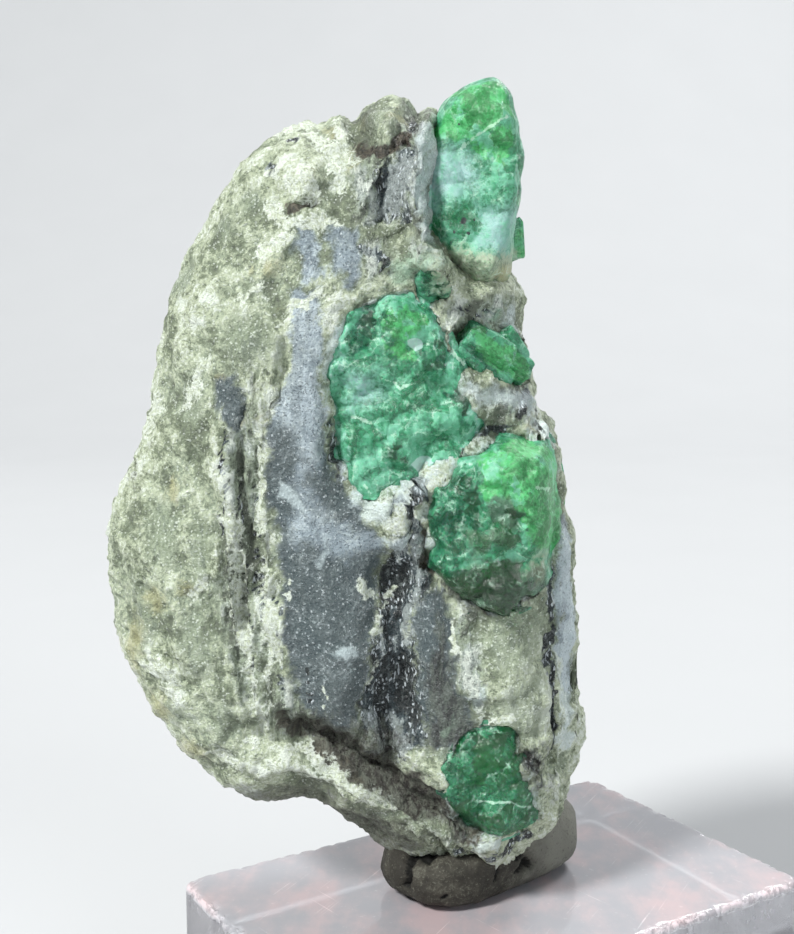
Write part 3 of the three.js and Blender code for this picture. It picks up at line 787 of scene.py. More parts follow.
# ---------------------------------------------------------------------------------------------------
# Shader writing.
# ---------------------------------------------------------------------------------------------------


class Wire:
    """An output of a shader node. Sums and products with it add Math nodes."""

    def __init__(self, shader, socket):
        self.shader, self.socket = shader, socket

    def maths(self, operation, first, second):
        """A Math node on two wires or numbers."""
        return self.shader.node("ShaderNodeMath", {0: first, 1: second}, operation=operation)

    def __add__(self, other):
        return self.maths("ADD", self, other)

    def __sub__(self, other):
        return self.maths("SUBTRACT", self, other)

    def __rsub__(self, other):
        return self.maths("SUBTRACT", other, self)

    def __mul__(self, other):
        return self.maths("MULTIPLY", self, other)

    __radd__, __rmul__ = __add__, __mul__


class Shader:
    """A material being written. node() adds a node of any type, and the rest are short names for some."""

    def __init__(self, name):
        self.material = bpy.data.materials.new(name)
        self.material.use_nodes = True
        self.tree = self.material.node_tree
        self.tree.nodes.clear()
        place = self.node("ShaderNodeTexCoord", output="Object")
        self.place = self.vector("SCALE", place, scale=1 / MM)

    def node(self, kind, inputs=None, output=0, **settings):
        """A node: its settings go in first, then the values or links of its sockets."""
        made = self.tree.nodes.new(kind)
        for key, value in settings.items():
            setattr(made, key, value)
        for key, value in (inputs or {}).items():
            if isinstance(value, Wire):
                self.tree.links.new(value.socket, made.inputs[key])
            else:
                made.inputs[key].default_value = value
        return Wire(self, made.outputs[output]) if made.outputs else None

    def mask(self, name):
        """An attribute of the piece."""
        return self.node("ShaderNodeAttribute", output="Fac", attribute_name=name)

    def vector(self, operation, first, second=None, scale=None):
        """Vector arithmetic."""
        inputs = {0: first}
        if second is not None:
            inputs[1] = second
        if scale is not None:
            inputs["Scale"] = scale
        return self.node("ShaderNodeVectorMath", inputs, operation=operation)

    def mix(self, share, first, second):
        """A colour between two colours."""
        return self.node("ShaderNodeMix", {0: share, 6: first, 7: second}, 2, data_type="RGBA")

    def step(self, value, low, high):
        """0 below low, 1 above high, and a smooth rise between."""
        sockets = {"Value": value, "From Min": low, "From Max": high}
        return self.node("ShaderNodeMapRange", sockets, interpolation_type="SMOOTHSTEP")

    def noise(self, size, detail=3.0, roughness=0.5, place=None, stretch=None):
        """Noise with lumps of a size in mm, about 0.5 on average."""
        place = place or self.place
        if stretch:
            place = self.vector("MULTIPLY", place, stretch)
        sockets = {"Vector": place, "Scale": 1 / size, "Detail": detail, "Roughness": roughness}
        return self.node("ShaderNodeTexNoise", sockets)

    def cells(self, size, output="Color", place=None, feature="F1"):
        """Scattered cells of a size in mm: a random colour for each, or the distance to its middle."""
        sockets = {"Vector": place or self.place, "Scale": 1 / size}
        return self.node("ShaderNodeTexVoronoi", sockets, output, feature=feature)

    def part(self, colour, which):
        """One part of a colour, as a number."""
        return self.node("ShaderNodeSeparateColor", {0: colour}, which)

    def tilted(self, cells, amount):
        """The surface's normal, leaned a different way in each cell by amount."""
        lean = self.vector("SUBTRACT", cells, (0.5, 0.5, 0.5))
        lean = self.vector("SCALE", lean, scale=amount)
        plain = self.node("ShaderNodeNewGeometry", output="Normal")
        return self.vector("NORMALIZE", self.vector("ADD", plain, lean))

    def bump(self, height, distance, normal=None):
        """A normal for a height from 0 to 1 that stands distance mm."""
        sockets = {"Height": height, "Distance": distance * MM}
        if normal is not None:
            sockets["Normal"] = normal
        return self.node("ShaderNodeBump", sockets)

    def surface(self, **values):
        """A Principled surface. An underscore in a name stands for a space."""
        sockets = {name.replace("_", " "): value for name, value in values.items()}
        return self.node("ShaderNodeBsdfPrincipled", sockets)

    def done(self, surface, volume=None):
        """Ends the material."""
        sockets = {"Surface": surface}
        if volume is not None:
            sockets["Volume"] = volume
        self.node("ShaderNodeOutputMaterial", sockets)
        return self.material


# Colours of the minerals, linear red, green and blue.
OLIVE_GREY = (0.21, 0.255, 0.165, 1)
WARM_GREY = (0.36, 0.43, 0.32, 1)
CREAM = (0.57, 0.64, 0.45, 1)
CREAM_WHITE = (0.85, 0.92, 0.83, 1)
DARK_GRAIN = (0.115, 0.135, 0.105, 1)
BLUE_QUARTZ = (0.48, 0.57, 0.63, 1)
MID_QUARTZ = (0.30, 0.37, 0.42, 1)
SLATE_QUARTZ = (0.060, 0.086, 0.096, 1)
PALE_QUARTZ = (0.68, 0.80, 0.82, 1)
BLACK_MICA = (0.028, 0.036, 0.037, 1)
SILVER_MICA = (0.42, 0.48, 0.47, 1)
OLIVE_QUARTZ = (0.27, 0.325, 0.21, 1)
OCHRE = (0.47, 0.44, 0.20, 1)
TINTED = (0.40, 0.62, 0.46, 1)
GLINT = (0.80, 0.88, 0.92, 1)
BROWN = (0.105, 0.085, 0.062, 1)
DARK_BROWN = (0.026, 0.022, 0.017, 1)
# Sizes in mm of the noises and cells that break the minerals up, from the broadest to the finest.
BROAD_SIZE, PATCH_SIZE, STREAK_SIZE, FINE_SIZE, FLAKE_SIZE, SMALL_SIZE = 4.0, 1.3, 0.42, 0.25, 0.26, 0.12


def schist_material():
    """Mica schist: cream and olive-grey grains, with each mineral laid over them where its mask is strong
    enough to pass a patchy noise, so that its edge breaks up into patches and grains. In leafy stretches
    the colour follows the leaves: dark in the furrows and silvery or cream on the crests."""
    s = Shader("schist")
    patchy = s.noise(PATCH_SIZE, 8, 0.70)
    fine = s.noise(FINE_SIZE, 4, 0.70)
    streaked = s.noise(STREAK_SIZE, 4, 0.65, stretch=(1.0, 1.0, 0.25))
    broad = s.noise(BROAD_SIZE, 4, 0.6)
    flakes = s.cells(FLAKE_SIZE)
    flake = s.part(flakes, 0)
    small = s.part(s.cells(SMALL_SIZE), 1)
    sliver = s.part(s.cells(SMALL_SIZE, place=s.vector("MULTIPLY", s.place, (1.0, 1.0, 0.4))), 0)
    high = s.mask("high")
    leafy = s.mask("leafy")
    leaf = s.mask("leaf") + (streaked - 0.5) * 0.8 + (fine - 0.5) * 0.5

    def over(name, low=0.35, high=0.7, patches=1.4, grain=0.8):
        """Where a mineral shows: its mask with patchy and fine noise added, cut off."""
        return s.step(s.mask(name) + (patchy - 0.5) * patches + (fine - 0.5) * grain, low, high)

    host = s.mix(s.step(broad + (patchy - 0.5) * 1.3, 0.34, 0.64), OLIVE_GREY, WARM_GREY)
    raised = high * 0.5 + (patchy - 0.5) * 2.7 + (fine - 0.5) * 1.6 + (broad - 0.5) * 1.6
    raised = raised + (streaked - 0.5) * (leafy * 2.4 + 0.4)
    host = s.mix(s.step(raised, 0.0, 0.42) * 0.85, host, CREAM)
    host = s.mix(s.step(raised, 0.38, 0.8) * 0.9, host, CREAM_WHITE)
    # painted shade: the low hollows of the grain darkened towards dark grain
    host = s.mix(s.step(raised, 0.0, -0.5) * 0.6, host, DARK_GRAIN)
    host = s.mix(s.step(fine + (patchy - 0.5) * 0.7, 0.38, 0.26) * 0.6, host, DARK_GRAIN)
    host = s.mix(s.step(small, 0.9, 0.96) * 0.5, host, CREAM_WHITE)
    glassy = s.mix(s.step(fine * 0.5 + patchy * 0.5, 0.36, 0.64), OLIVE_QUARTZ, WARM_GREY)
    glassy = s.mix(s.step(streaked + (patchy - 0.5) * 0.6, 0.52, 0.38) * 0.4, glassy, SLATE_QUARTZ)
    # painted glints: tiny white flecks as sparkle on the smooth quartz
    glassy = s.mix(s.step(small + (fine - 0.5) * 0.6, 0.86, 0.96) * 0.6, glassy, CREAM_WHITE)
    colour = s.mix(over("olive", 0.25, 0.85, 1.0, 0.5) * 0.8, host, glassy)

    black_white = s.mix(s.step(leaf, 0.32, 0.50), DARK_GRAIN, WARM_GREY)
    black_white = s.mix(s.step(leaf + (patchy - 0.5) * 0.5, 0.48, 0.64) * 0.8, black_white, SILVER_MICA)
    black_white = s.mix(s.step(leaf + (patchy - 0.5) * 0.9, 0.60, 0.78) * 0.75, black_white, CREAM_WHITE)
    black_white = s.mix(s.step(flake + (fine - 0.5) * 1.2, 0.90, 1.0) * 0.6, black_white, CREAM_WHITE)
    black_white = s.mix(s.step(fine + (streaked - 0.5) * 0.6, 0.40, 0.30) * 0.6, black_white, BLACK_MICA)
    colour = s.mix(over("speckle", 0.3, 0.75, 1.3, 0.8) * 0.9, colour, black_white)

    slaty = s.step(s.mask("slate") + (patchy - 0.5) * 1.3 + (fine - 0.5) * 0.4, 0.0, 0.55)
    quartz = s.mix(s.step(broad + (patchy - 0.5) * 1.5, 0.36, 0.66), MID_QUARTZ, BLUE_QUARTZ)
    quartz = s.mix(slaty * 0.95, quartz, SLATE_QUARTZ)
    milkiness = s.step(patchy + (fine - 0.5) * 0.9, 0.48, 0.70) * (0.7 - slaty * 0.6)
    quartz = s.mix(milkiness, quartz, PALE_QUARTZ)
    quartz = s.mix(s.step(leaf, 0.44, 0.26) * 0.35, quartz, SLATE_QUARTZ)
    quartz = s.mix(s.step(fine * 0.6 + patchy * 0.4, 0.50, 0.62) * 0.35, quartz, BLUE_QUARTZ)
    quartz = s.mix(s.step(fine * 0.7 + streaked * 0.3, 0.44, 0.34) * 0.4, quartz, SLATE_QUARTZ)
    quartz = s.mix(s.step(flake + (fine - 0.5) * 1.4, 0.98, 1.08) * 0.4, quartz, PALE_QUARTZ)
    quartz = s.mix(slaty * 0.3, quartz, SLATE_QUARTZ)
    quartz = s.mix(s.step(small + (fine - 0.5) * 0.5, 0.94, 1.0) * 0.5, quartz, GLINT)
    quartz = s.mix(s.step(small, 0.14, 0.08) * 0.5, quartz, SLATE_QUARTZ)
    colour = s.mix(over("quartz", 0.22, 0.68, 0.9, 0.6) * 0.95, colour, quartz)

    mica = s.mix(s.step(leaf, 0.40, 0.64) * 0.9, BLACK_MICA, SLATE_QUARTZ)
    mica = s.mix(s.step(leaf + (patchy - 0.5) * 0.4, 0.62, 0.76) * 0.8, mica, SILVER_MICA)
    mica = s.mix(s.step(streaked + (fine - 0.5) * 0.8, 0.56, 0.68) * 0.3, mica, SILVER_MICA)
    mica = s.mix(s.step(streaked + (patchy - 0.5) * 0.9, 0.68, 0.78) * 0.3, mica, CREAM)
    mica = s.mix(s.step(sliver + (patchy - 0.5) * 0.5, 0.86, 0.92) * 0.8, mica, GLINT)
    colour = s.mix(over("mica", 0.3, 0.66, 1.2, 0.8), colour, mica)

    # brown stain, and under the dome painted shade
    brown_stain_and_shade = s.mix(s.step(streaked + (fine - 0.5) * 0.6, 0.38, 0.62), DARK_BROWN, BROWN)
    colour = s.mix(over("brown", 0.2, 0.6, 0.9) * 0.92, colour, brown_stain_and_shade)
    colour = s.mix(over("ochre", 0.1, 1.1, 1.6, 1.4) * 0.5, colour, OCHRE)
    colour = s.mix(over("green", 0.3, 1.0) * 0.7, colour, TINTED)
    # cream crust, and painted highlights along the left rim and the lower limb
    cream_crust_and_highlight = s.mix(s.step(fine, 0.36, 0.6), CREAM, CREAM_WHITE)
    colour = s.mix(over("cream", 0.42, 0.72, 1.7, 1.3) * 0.9, colour, cream_crust_and_highlight)
    colour = s.mix(over("pale", 0.3, 1.0, 1.3, 0.8) * 0.6, colour, PALE_QUARTZ)
    milk = s.mix(s.step(fine + (patchy - 0.5) * 0.9, 0.34, 0.6), TINTED, PALE_QUARTZ)
    colour = s.mix(over("seat", 0.5, 1.1, 1.6, 0.9) * 0.7, colour, milk)
    # painted shade: darkens stretches under ledges, in hollows and under the dome towards dark grain and
    # brown
    shade = s.mix(s.step(streaked + (fine - 0.5) * 0.5, 0.40, 0.60), DARK_BROWN, DARK_GRAIN)
    painted_shade_share = s.step(s.mask("painted_shade") + (patchy - 0.5) * 1.3 + (streaked - 0.5) * 1.2, 0.25, 0.85)
    colour = s.mix(painted_shade_share * 0.72, colour, shade)

    shiny = s.step(s.mask("mica") + s.mask("speckle") * 0.6, 0.1, 0.8)
    still = s.step(s.mask("quartz") + s.mask("olive") + s.mask("pale"), 0.2, 0.8)
    roughness = 0.60 - shiny * 0.28 - still * 0.2 + (small - 0.5) * 0.35
    lean = (0.55 + shiny * 0.8) * (1 - still * 0.6)
    grain = fine + patchy * 0.9 + streaked * (1 - still) * 0.8 + s.noise(SMALL_SIZE, 2) * 0.4
    normal = s.bump(grain, 0.34, s.tilted(flakes, lean))
    body = s.surface(Base_Color=colour, Roughness=roughness, Normal=normal, Specular_IOR_Level=0.7)
    return s.done(body)


# ---------------------------------------------------------------------------------------------------
# The emeralds.
# ---------------------------------------------------------------------------------------------------

CROWN = [
    (-1, 58), (-0.2, 57.7), (0.5, 56.9), (0.8, 55.9), (1.05, 54.9), (1.1, 54.3), (1.4, 53.2), (1.45, 52.2),
    (1.2, 51.2), (1.25, 50.4), (1.1, 49.4), (0.8, 47.6), (0.7, 46), (0.5, 44.4), (-1.2, 43.6), (-3.4, 44.6),
    (-5, 46.4), (-5.8, 48.8), (-5.7, 51.2), (-5.1, 53.6), (-4.6, 55.4), (-3.9, 56.6), (-2.4, 57.6),
]
# How each crystal that sits in the stone's face stands: height over the face, width over which its edge
# rounds, and the size and tilt of its broken blocks.
SEATED = {
    "heart": (HEART, dict(stand=0.2, rim=1.6, size=2.0, tilt=0.6)),
    "dome": (DOME, dict(stand=2.5, rim=3.2, size=2.6, tilt=0.5)),
    "foot": (FOOT, dict(stand=0.15, rim=1.2, size=1.6, tilt=0.6)),
    "bud": (BUD, dict(stand=0.2, rim=0.6, size=1.0, tilt=0.6)),
}

# Swellings of the seated crystals: height, middle and size.
CRYSTAL_SWELLINGS = [
    (0.9, (1.8, 31.2), (2.0, 1.9)),
    (0.7, (2.2, 28.6), (1.5, 1.3)),
    (-0.9, (-2.8, 28.4), (1.6, 2.4)),
    (-0.6, (-0.2, 29.0), (0.7, 0.9)),
    (-0.5, (-1.0, 25.4), (2.4, 1.4)),
    (0.5, (-6.6, 41.6), (1.5, 1.4)),
    (-0.4, (-8.6, 37), (1.6, 1.2)),
    (0.4, (-8.6, 32.8), (1.4, 1.4)),
    (0.5, (-4.2, 35.2), (1.2, 0.9)),
    (0.45, (-4.8, 39.2), (1.0, 1.0)),
    (0.6, (0.2, 7.4), (1.2, 0.9)),
    (-0.3, (-1.0, 9.6), (1.6, 0.5)),
]
CROWN_SWELLINGS = [
    (0.5, (-1.6, 55.6), (1.8, 1.6)),
    (-0.5, (-1, 53), (3, 0.7)),
    (0.5, (-3.4, 50.8), (1.6, 2)),
    (0.6, (-1.4, 46), (1.6, 1.8)),
]

BRIGHT_AREAS = [
    [(-4.9, 53.6), (-4.2, 55.8), (-1.4, 57.4), (0.3, 56.8), (0.5, 55), (-0.6, 54.2), (-3.6, 53)],
    [(-2.4, 53.2), (0.4, 54.4), (0.6, 52.4), (-1, 51.8)],
    # the dome's upper right: bright green, partly painted light where it faces the lamp
    [
        (-1.8, 33.2), (1, 34), (3.8, 33), (5.4, 30.6), (5.4, 26.4), (4.1, 25.8), (2.6, 26.4), (1.4, 27.6),
        (0.2, 30.2), (-1.6, 30.6),
    ],
    [(-3.2, 41.4), (-0.4, 41), (1.6, 39), (1.2, 37.8), (-1, 38.6)],
    [(-8.2, 42.2), (-6.4, 42.8), (-5, 41.6), (-6.2, 40.4), (-7.8, 40.6)],
    [(-7.6, 40.6), (-6.3, 40.4), (-6.4, 38.9), (-7.6, 39)],
    [(0.2, 38.8), (1.5, 38.8), (1.4, 37.7), (0.3, 37.9)],
    [(-1.4, 8.6), (0.5, 8.4), (0.4, 6.6), (-1.4, 6.7)],
    [(1.2, 49.8), (2.9, 49.8), (2.9, 45.2), (1.2, 45.2)],
]
DEEP_AREAS = [
    [(-10, 42), (-8.4, 42.2), (-8.2, 40), (-9.8, 39.4), (-10.6, 40.2)],
    [(-6.2, 40), (-4.2, 40.6), (-3.9, 38.6), (-5.6, 38.1)],
    [(-4.2, 37.6), (-3, 37.4), (-1.9, 35.2), (-2.8, 34.6), (-3.2, 36.2)],
    [(-8, 34.2), (-7, 34), (-7, 32.9), (-7.8, 33.2)],
    # the dome's left: deep green, partly painted shade on its shadowed side
    [(-6, 30.6), (-2.6, 32), (-1.8, 29.6), (-2.4, 26.6), (-5.8, 25.4)],
    [(-5.9, 45), (-3.8, 45.2), (-3.6, 43.2), (-5.6, 43.2)],
    [(-4.4, 14.4), (1.4, 14.4), (2.2, 9.4), (2.8, 7), (1.2, 5.8), (-1, 5.6), (-4.2, 7.4)],
    [(0.7, 8.4), (2.4, 8.6), (2.4, 7), (0.8, 7)],
    [(0.2, 29.6), (1.1, 29.2), (1.2, 27), (0.3, 27.2)],
    [(-5.2, 26.2), (0, 25.8), (2.4, 24.2), (1.2, 22), (-4, 22)],
]
MILKY_AREAS = [  # bluish white, with quartz grown through
    [(-6, 53), (-2.8, 52.8), (-1.4, 50.6), (-3.4, 49.4), (-6, 48.4)],
    [(-1.9, 49.2), (0.7, 49.4), (0.6, 46.2), (-1.6, 46.2)],
    [(-10.6, 38.2), (-8.4, 38.4), (-8.1, 36.2), (-10.2, 35.8)],
]
WHITE_LINES = [  # seams of white quartz, and white rims painted as highlights along the crown's top and right edges: reach and line
    # painted highlight along the crown's top edge
    (0.3, [(-4.6, 55.6), (-3.7, 56.9), (-2.3, 57.7), (-1, 58.1), (0, 57.8)]),
    # painted rim light along the crown's right edge
    (0.28, [(0.6, 56.8), (1.1, 55), (1.5, 52.4), (1.2, 49.6)]),
    (0.14, [(-0.1, 54.9), (-1.6, 54.1), (-3, 53)]),
    (0.14, [(-4.1, 40.4), (-2.8, 38.9)]),
    (0.16, [(-10.1, 35.5), (-8.9, 35.1)]),
    (0.14, [(-9.4, 31), (-9, 30.4)]),
    (0.11, [(-1.4, 8.8), (0.5, 8.8), (2.2, 8.0)]),
    (0.12, [(-7.9, 38), (-6.9, 37.4), (-6, 37.8)]),
    (0.16, [(2, 30.9), (3, 30.6)]),
]
DUSTY_AREAS = [  # cream and brown, like the stone
    [(-4.8, 46.4), (-1.8, 46.6), (1.2, 46.4), (0.9, 43), (-2, 42.6), (-5, 44)],
    [(1.9, 26.2), (3, 26.2), (3, 24.6), (1.9, 24.2)],
]
CAVITY_AREAS = [  # brown and dark: painted shade in the dome's hollows and over its lower part
    [(-1.2, 30.6), (0.5, 30.5), (0.9, 28.2), (0.2, 26.8), (-0.9, 27.4)],
    [(-2.4, 28), (-1.4, 28.2), (-1, 26.6), (-2, 26.2)],
    [(-4.6, 25.2), (-1.6, 26.4), (1, 25.6), (3.2, 25.6), (3.4, 22.6), (0, 21.4), (-4.4, 22.4)],
]
SCHISTY_AREAS = [  # grey, where mica schist lies on the crystal
    [(-6.4, 55.6), (-4.9, 54.8), (-5.2, 52), (-5.3, 49.4), (-5, 47), (-3.8, 45.4), (-6.6, 45.8), (-6.8, 50)],
]
WHITE_GRAINS = [  # single grains of white quartz in the crystal
    [(-6.3, 32.3), (-5.8, 32.8), (-5.1, 32.8), (-4.6, 32.3), (-4.8, 31.7), (-5.6, 31.5)],
    [(-6.5, 40.5), (-6.1, 40.7), (-5.6, 40.5), (-5.5, 40.1), (-6, 39.8), (-6.4, 40.1)],
]
RUST_SPOTS = [((0.2, 44.6), (1.0, 1.4))]
SPECKS = [  # black grains: middle and size
    ((-2.9, 48.3), (0.28, 0.28)), ((-2.5, 47.5), (0.14, 0.14)), ((-3.4, 47.6), (0.12, 0.12)),
    ((-2.2, 48.4), (0.1, 0.1)), ((-3.2, 54.5), (0.1, 0.1)),
]


def tints(points):
    """Masks of the crystals' colours at points in mm. Their edges are moved about by small hills and, block
    by block, by a random step, so that patches end along the edges of blocks."""
    flat_x, flat_z = points[..., 0], points[..., 2]
    large = blocks(flat_x, flat_z, 2.0, 0.6, 91)[1]
    small = blocks(flat_x, flat_z, 0.8, 0.6, 101)[1]
    x = flat_x + 0.25 * crags(points, 1.2, 51, 3) + 0.9 * (small - 0.5)
    z = flat_z + 0.25 * crags(points, 1.2, 54, 3) + 0.9 * (large - 0.5)
    fine_x = flat_x + 0.12 * crags(points, 0.8, 57, 3)
    fine_z = flat_z + 0.12 * crags(points, 0.8, 58, 3)
    front = smooth(-points[..., 1], 2.8, 4.4)
    return {
        "rim": stroke(HEART + HEART[:1], 0.6, x, z),
        "bright": areas(BRIGHT_AREAS, 0.5, x, z),
        "deep": areas(DEEP_AREAS, 0.5, x, z),
        "milky": areas(MILKY_AREAS, 2.2, x, z),
        "white": strokes(WHITE_LINES, fine_x, fine_z) * front,
        "grains": areas(WHITE_GRAINS, 0.25, fine_x, fine_z) * front,
        "dusty": areas(DUSTY_AREAS, 2.0, x, z),
        "rust": spots(RUST_SPOTS, x, z),
        # painted shade in the dome's hollows and lower part
        "cavity": areas(CAVITY_AREAS, 0.8, x, z),
        "schisty": areas(SCHISTY_AREAS, 1.4, x, z),
        "specks": spots(SPECKS, fine_x, fine_z) * front,
        "block": small * 0.5 + large * 0.5,
    }


def lens_surface(outline, face, back, columns=230, front_rings=84, back_rings=14):
    """Closed surface on an outline: rings of the outline's own shape shrink to its middle in front, where
    face(x, z) gives Y, and behind, where back(x, z) does. The rings crowd together near the outline."""
    curve = rounded(outline, 8)
    strides = np.linalg.norm(np.diff(curve, axis=0, append=curve[:1]), axis=1)
    length = np.concatenate([[0], np.cumsum(strides)])
    even = np.linspace(0, length[-1], columns, endpoint=False)
    looped = np.vstack([curve, curve[:1]])
    rim = np.stack([np.interp(even, length, looped[:, i]) for i in (0, 1)], -1)
    middle = rim.mean(0)
    shares = [np.sin(np.linspace(0, 1, count + 1)[1:] * math.pi / 2) for count in (front_rings, back_rings)]
    front, behind = (middle + (rim - middle) * share[:, None, None] for share in shares)
    behind = behind[:-1][::-1]
    points = [
        np.stack([flat[..., 0], height(flat[..., 0], flat[..., 1]), flat[..., 1]], -1)
        for flat, height in ((front, face), (behind, back))
    ]
    poles = [
        np.array([middle[0], height(middle[:1], middle[1:])[0], middle[1]]) for height in (face, back)
    ]
    return poles[0], np.concatenate(points), poles[1]


def grown(outline, margin):
    """An outline whose points are moved away from their middle by a margin in mm."""
    points = np.asarray(outline, float)
    away = points - points.mean(0)
    return points + margin * away / np.linalg.norm(away, axis=1, keepdims=True)


def broken_face(x, z, size, tilt, seed):
    """Relief in mm of a broken crystal face: large blocks with small chips on them."""
    large, chips = blocks(x, z, size, tilt, seed)[0], blocks(x, z, size * 0.4, tilt, seed + 10)[0]
    return 0.42 * (large - 0.2 * size) + 0.4 * (chips - 0.08 * size)


def seated_crystal(outline, stand, rim, size, tilt):
    """A crystal let into the stone's face: inside its ragged edge it follows the face and stands over it by
    a rounded edge and then by broken blocks, and outside that edge it dips under the face."""
    curve = rounded(outline, 6)
    under, body = 0.4, 2.6

    def rise(x, z):
        away = ragged(curve, x, z)
        shown = smooth(away, -0.25, 0.3)
        raised = rim_round(np.maximum(away, 0), rim) * (stand + swollen(CRYSTAL_SWELLINGS, x, z))
        return raised + (under + broken_face(x, z, size, tilt, 91)) * shown - under

    def sunk(x, z):
        away = np.maximum(inward(curve, x, z), 0)
        return front_depth(x, z) - under - 0.1 - body * rim_round(away, 1.5)

    margin = 0.7  # the surface runs this much past the outline, so that the ragged edge has room
    return lens_surface(
        grown(outline, margin), lambda x, z: -(front_depth(x, z) + rise(x, z)), lambda x, z: -sunk(x, z)
    )


def crown_surface():
    """The crown: a thick leaf of crystal whose broad front is nearly flat, with shallow blocks and a
    rounded edge, except on the left where the stone laps over it, and whose back is rounder. Its lower end
    is lumpy, where it grows out of the rock."""
    curve = rounded(CROWN, 6)
    plane, front, back = -1.8, 4.5, 3.8

    def face(x, z):
        away = distance(curve, x, z, closed=True)
        broken = 0.35 * blocks(x, z, 3.2, 0.3, 61)[0]
        broken = broken + 0.3 * blocks(x, z, 1.1, 0.5, 65)[0] * (0.35 + spot(x, z, (-1, 52), (1.8, 1.6)))
        lean = 0.05 * (z - 51) - 0.12 * (x + 2)
        lapped = smooth(-x, 4.3, 5.0) * smooth(-z, -55.6, -54.4) * smooth(z, 44.8, 46)
        rocky = smooth(-z, -47.4, -44.6)
        lumps = crags(np.stack([x, np.zeros_like(x), z], -1), 2.0, 69, 4, gain=0.6)
        broken = broken + 0.55 * rocky * lumps
        edge = smooth(away, 0, 1.6) * 0.14 + 0.86 * rim_round(away, 0.9 + 1.6 * rocky)
        edge = np.maximum(edge, 0.96 * lapped)
        raised = front - lean + swollen(CROWN_SWELLINGS, x, z)
        return plane - raised * edge - broken * smooth(away, 0, 0.8)

    def behind(x, z):
        away = distance(curve, x, z, closed=True)
        return plane + (back + 0.5 * blocks(x, z, 2.6, 0.4, 67)[0]) * rim_round(away, 3.2)

    return lens_surface(CROWN, face, behind, columns=280, front_rings=110, back_rings=44)


def with_grain(surface, height, size, seed):
    """A closed surface with fine hills of a height and size in mm on it, along its normals."""
    first, rings, last = surface
    normal = outward(rings, first, last)
    return first, rings + normal * (height * crags(rings, size, seed, 2))[..., None], last


def prism_surface(middle, along, radius, length, seed):
    """A six-sided crystal: rings of a softened hexagon with fine ribs that run lengthways, carried along the
    axis, drawn in by a bevel at each end, and closed by uneven ends."""
    along = np.array(along, float) / np.linalg.norm(along)
    side = np.cross(along, (0.2, -1, 0.3))
    side /= np.linalg.norm(side)
    other = np.cross(along, side)
    turn = np.linspace(0, 2 * math.pi, 96, endpoint=False)
    sector = np.mod(turn, math.pi / 3) - math.pi / 6
    hexagon = math.cos(math.pi / 6) / np.cos(sector)
    ribs = 0.09 * hills(np.stack([turn * 3.2, 0 * turn, 0 * turn + seed], -1), 0.35, seed)
    bevel, bevel_reach = 0.16, 0.14
    ends = np.array([0.35, 0.7, 0.88, 1.0])
    side_steps = np.linspace(-1, 1, 40)[1:-1]
    step = np.concatenate([-1 + 0 * ends, side_steps, 1 + 0 * ends])
    wide = np.concatenate([ends, np.ones(len(side_steps)), ends[::-1]])
    drawn = 1 - bevel * np.exp(-((1 - np.abs(step)) * length / 2 / bevel_reach) ** 1.5)
    reach = (radius * wide * drawn)[:, None] * (hexagon + ribs)
    flat = side * np.cos(turn)[:, None] + other * np.sin(turn)[:, None]
    axis = np.array(middle) + along * (step * length / 2)[:, None]
    rings = axis[:, None] + reach[..., None] * flat
    rough = 0.16 * crags(rings, 0.8, seed, 2) * (np.abs(step) > 0.97)[:, None]
    rings = rings + along * rough[..., None]
    return np.array(middle) - along * length / 2, rings, np.array(middle) + along * length / 2


FLANK_PRISMS = [
    dict(middle=(-1.2, -5.4, 40.1), along=(0.86, 0.28, -0.48), radius=1.25, length=3.6),
    dict(middle=(0.1, -4.2, 39.2), along=(0.8, 0.4, -0.5), radius=1.15, length=3.9),
    dict(middle=(-0.7, -5.0, 38.8), along=(0.7, 0.3, -0.65), radius=0.8, length=3.0),
    dict(middle=(-2.4, -5.6, 39.3), along=(0.62, 0.3, -0.72), radius=0.75, length=2.4),
    dict(middle=(0.8, -4.4, 40.2), along=(0.5, 0.5, -0.7), radius=0.6, length=2.6),
]
EDGE_PRISM = dict(middle=(0.95, -0.7, 47.4), along=(-0.06, 0.05, 1), radius=0.8, length=2.8)

# Colours of the emeralds, linear.
EMERALD = (0.055, 0.32, 0.165, 1)
BRIGHT_EMERALD = (0.085, 0.47, 0.15, 1)
DEEP_EMERALD = (0.016, 0.15, 0.085, 1)
MINT = (0.17, 0.50, 0.33, 1)
MILK = (0.34, 0.52, 0.52, 1)
# pale seams of quartz, and painted highlights on facet edges
PALE_SEAM_AND_EDGE_HIGHLIGHT = (0.52, 0.70, 0.58, 1)
CLOUDED_GREY = (0.38, 0.43, 0.31, 1)
RUSTY = (0.36, 0.25, 0.09, 1)
CLOUDED_BROWN_AND_SHADE = (0.075, 0.085, 0.055, 1)
GLASS_TINT = (0.50, 0.93, 0.66, 1)
ABSORBED = (0.12, 0.87, 0.42, 1)
ABSORBED_DENSITY = 520.0  # for each metre of crystal
BERYL_IOR = 1.58
FACET_SIZE, CHIP_SIZE = 1.2, 0.45  # of the broken faces within the crystal, in mm


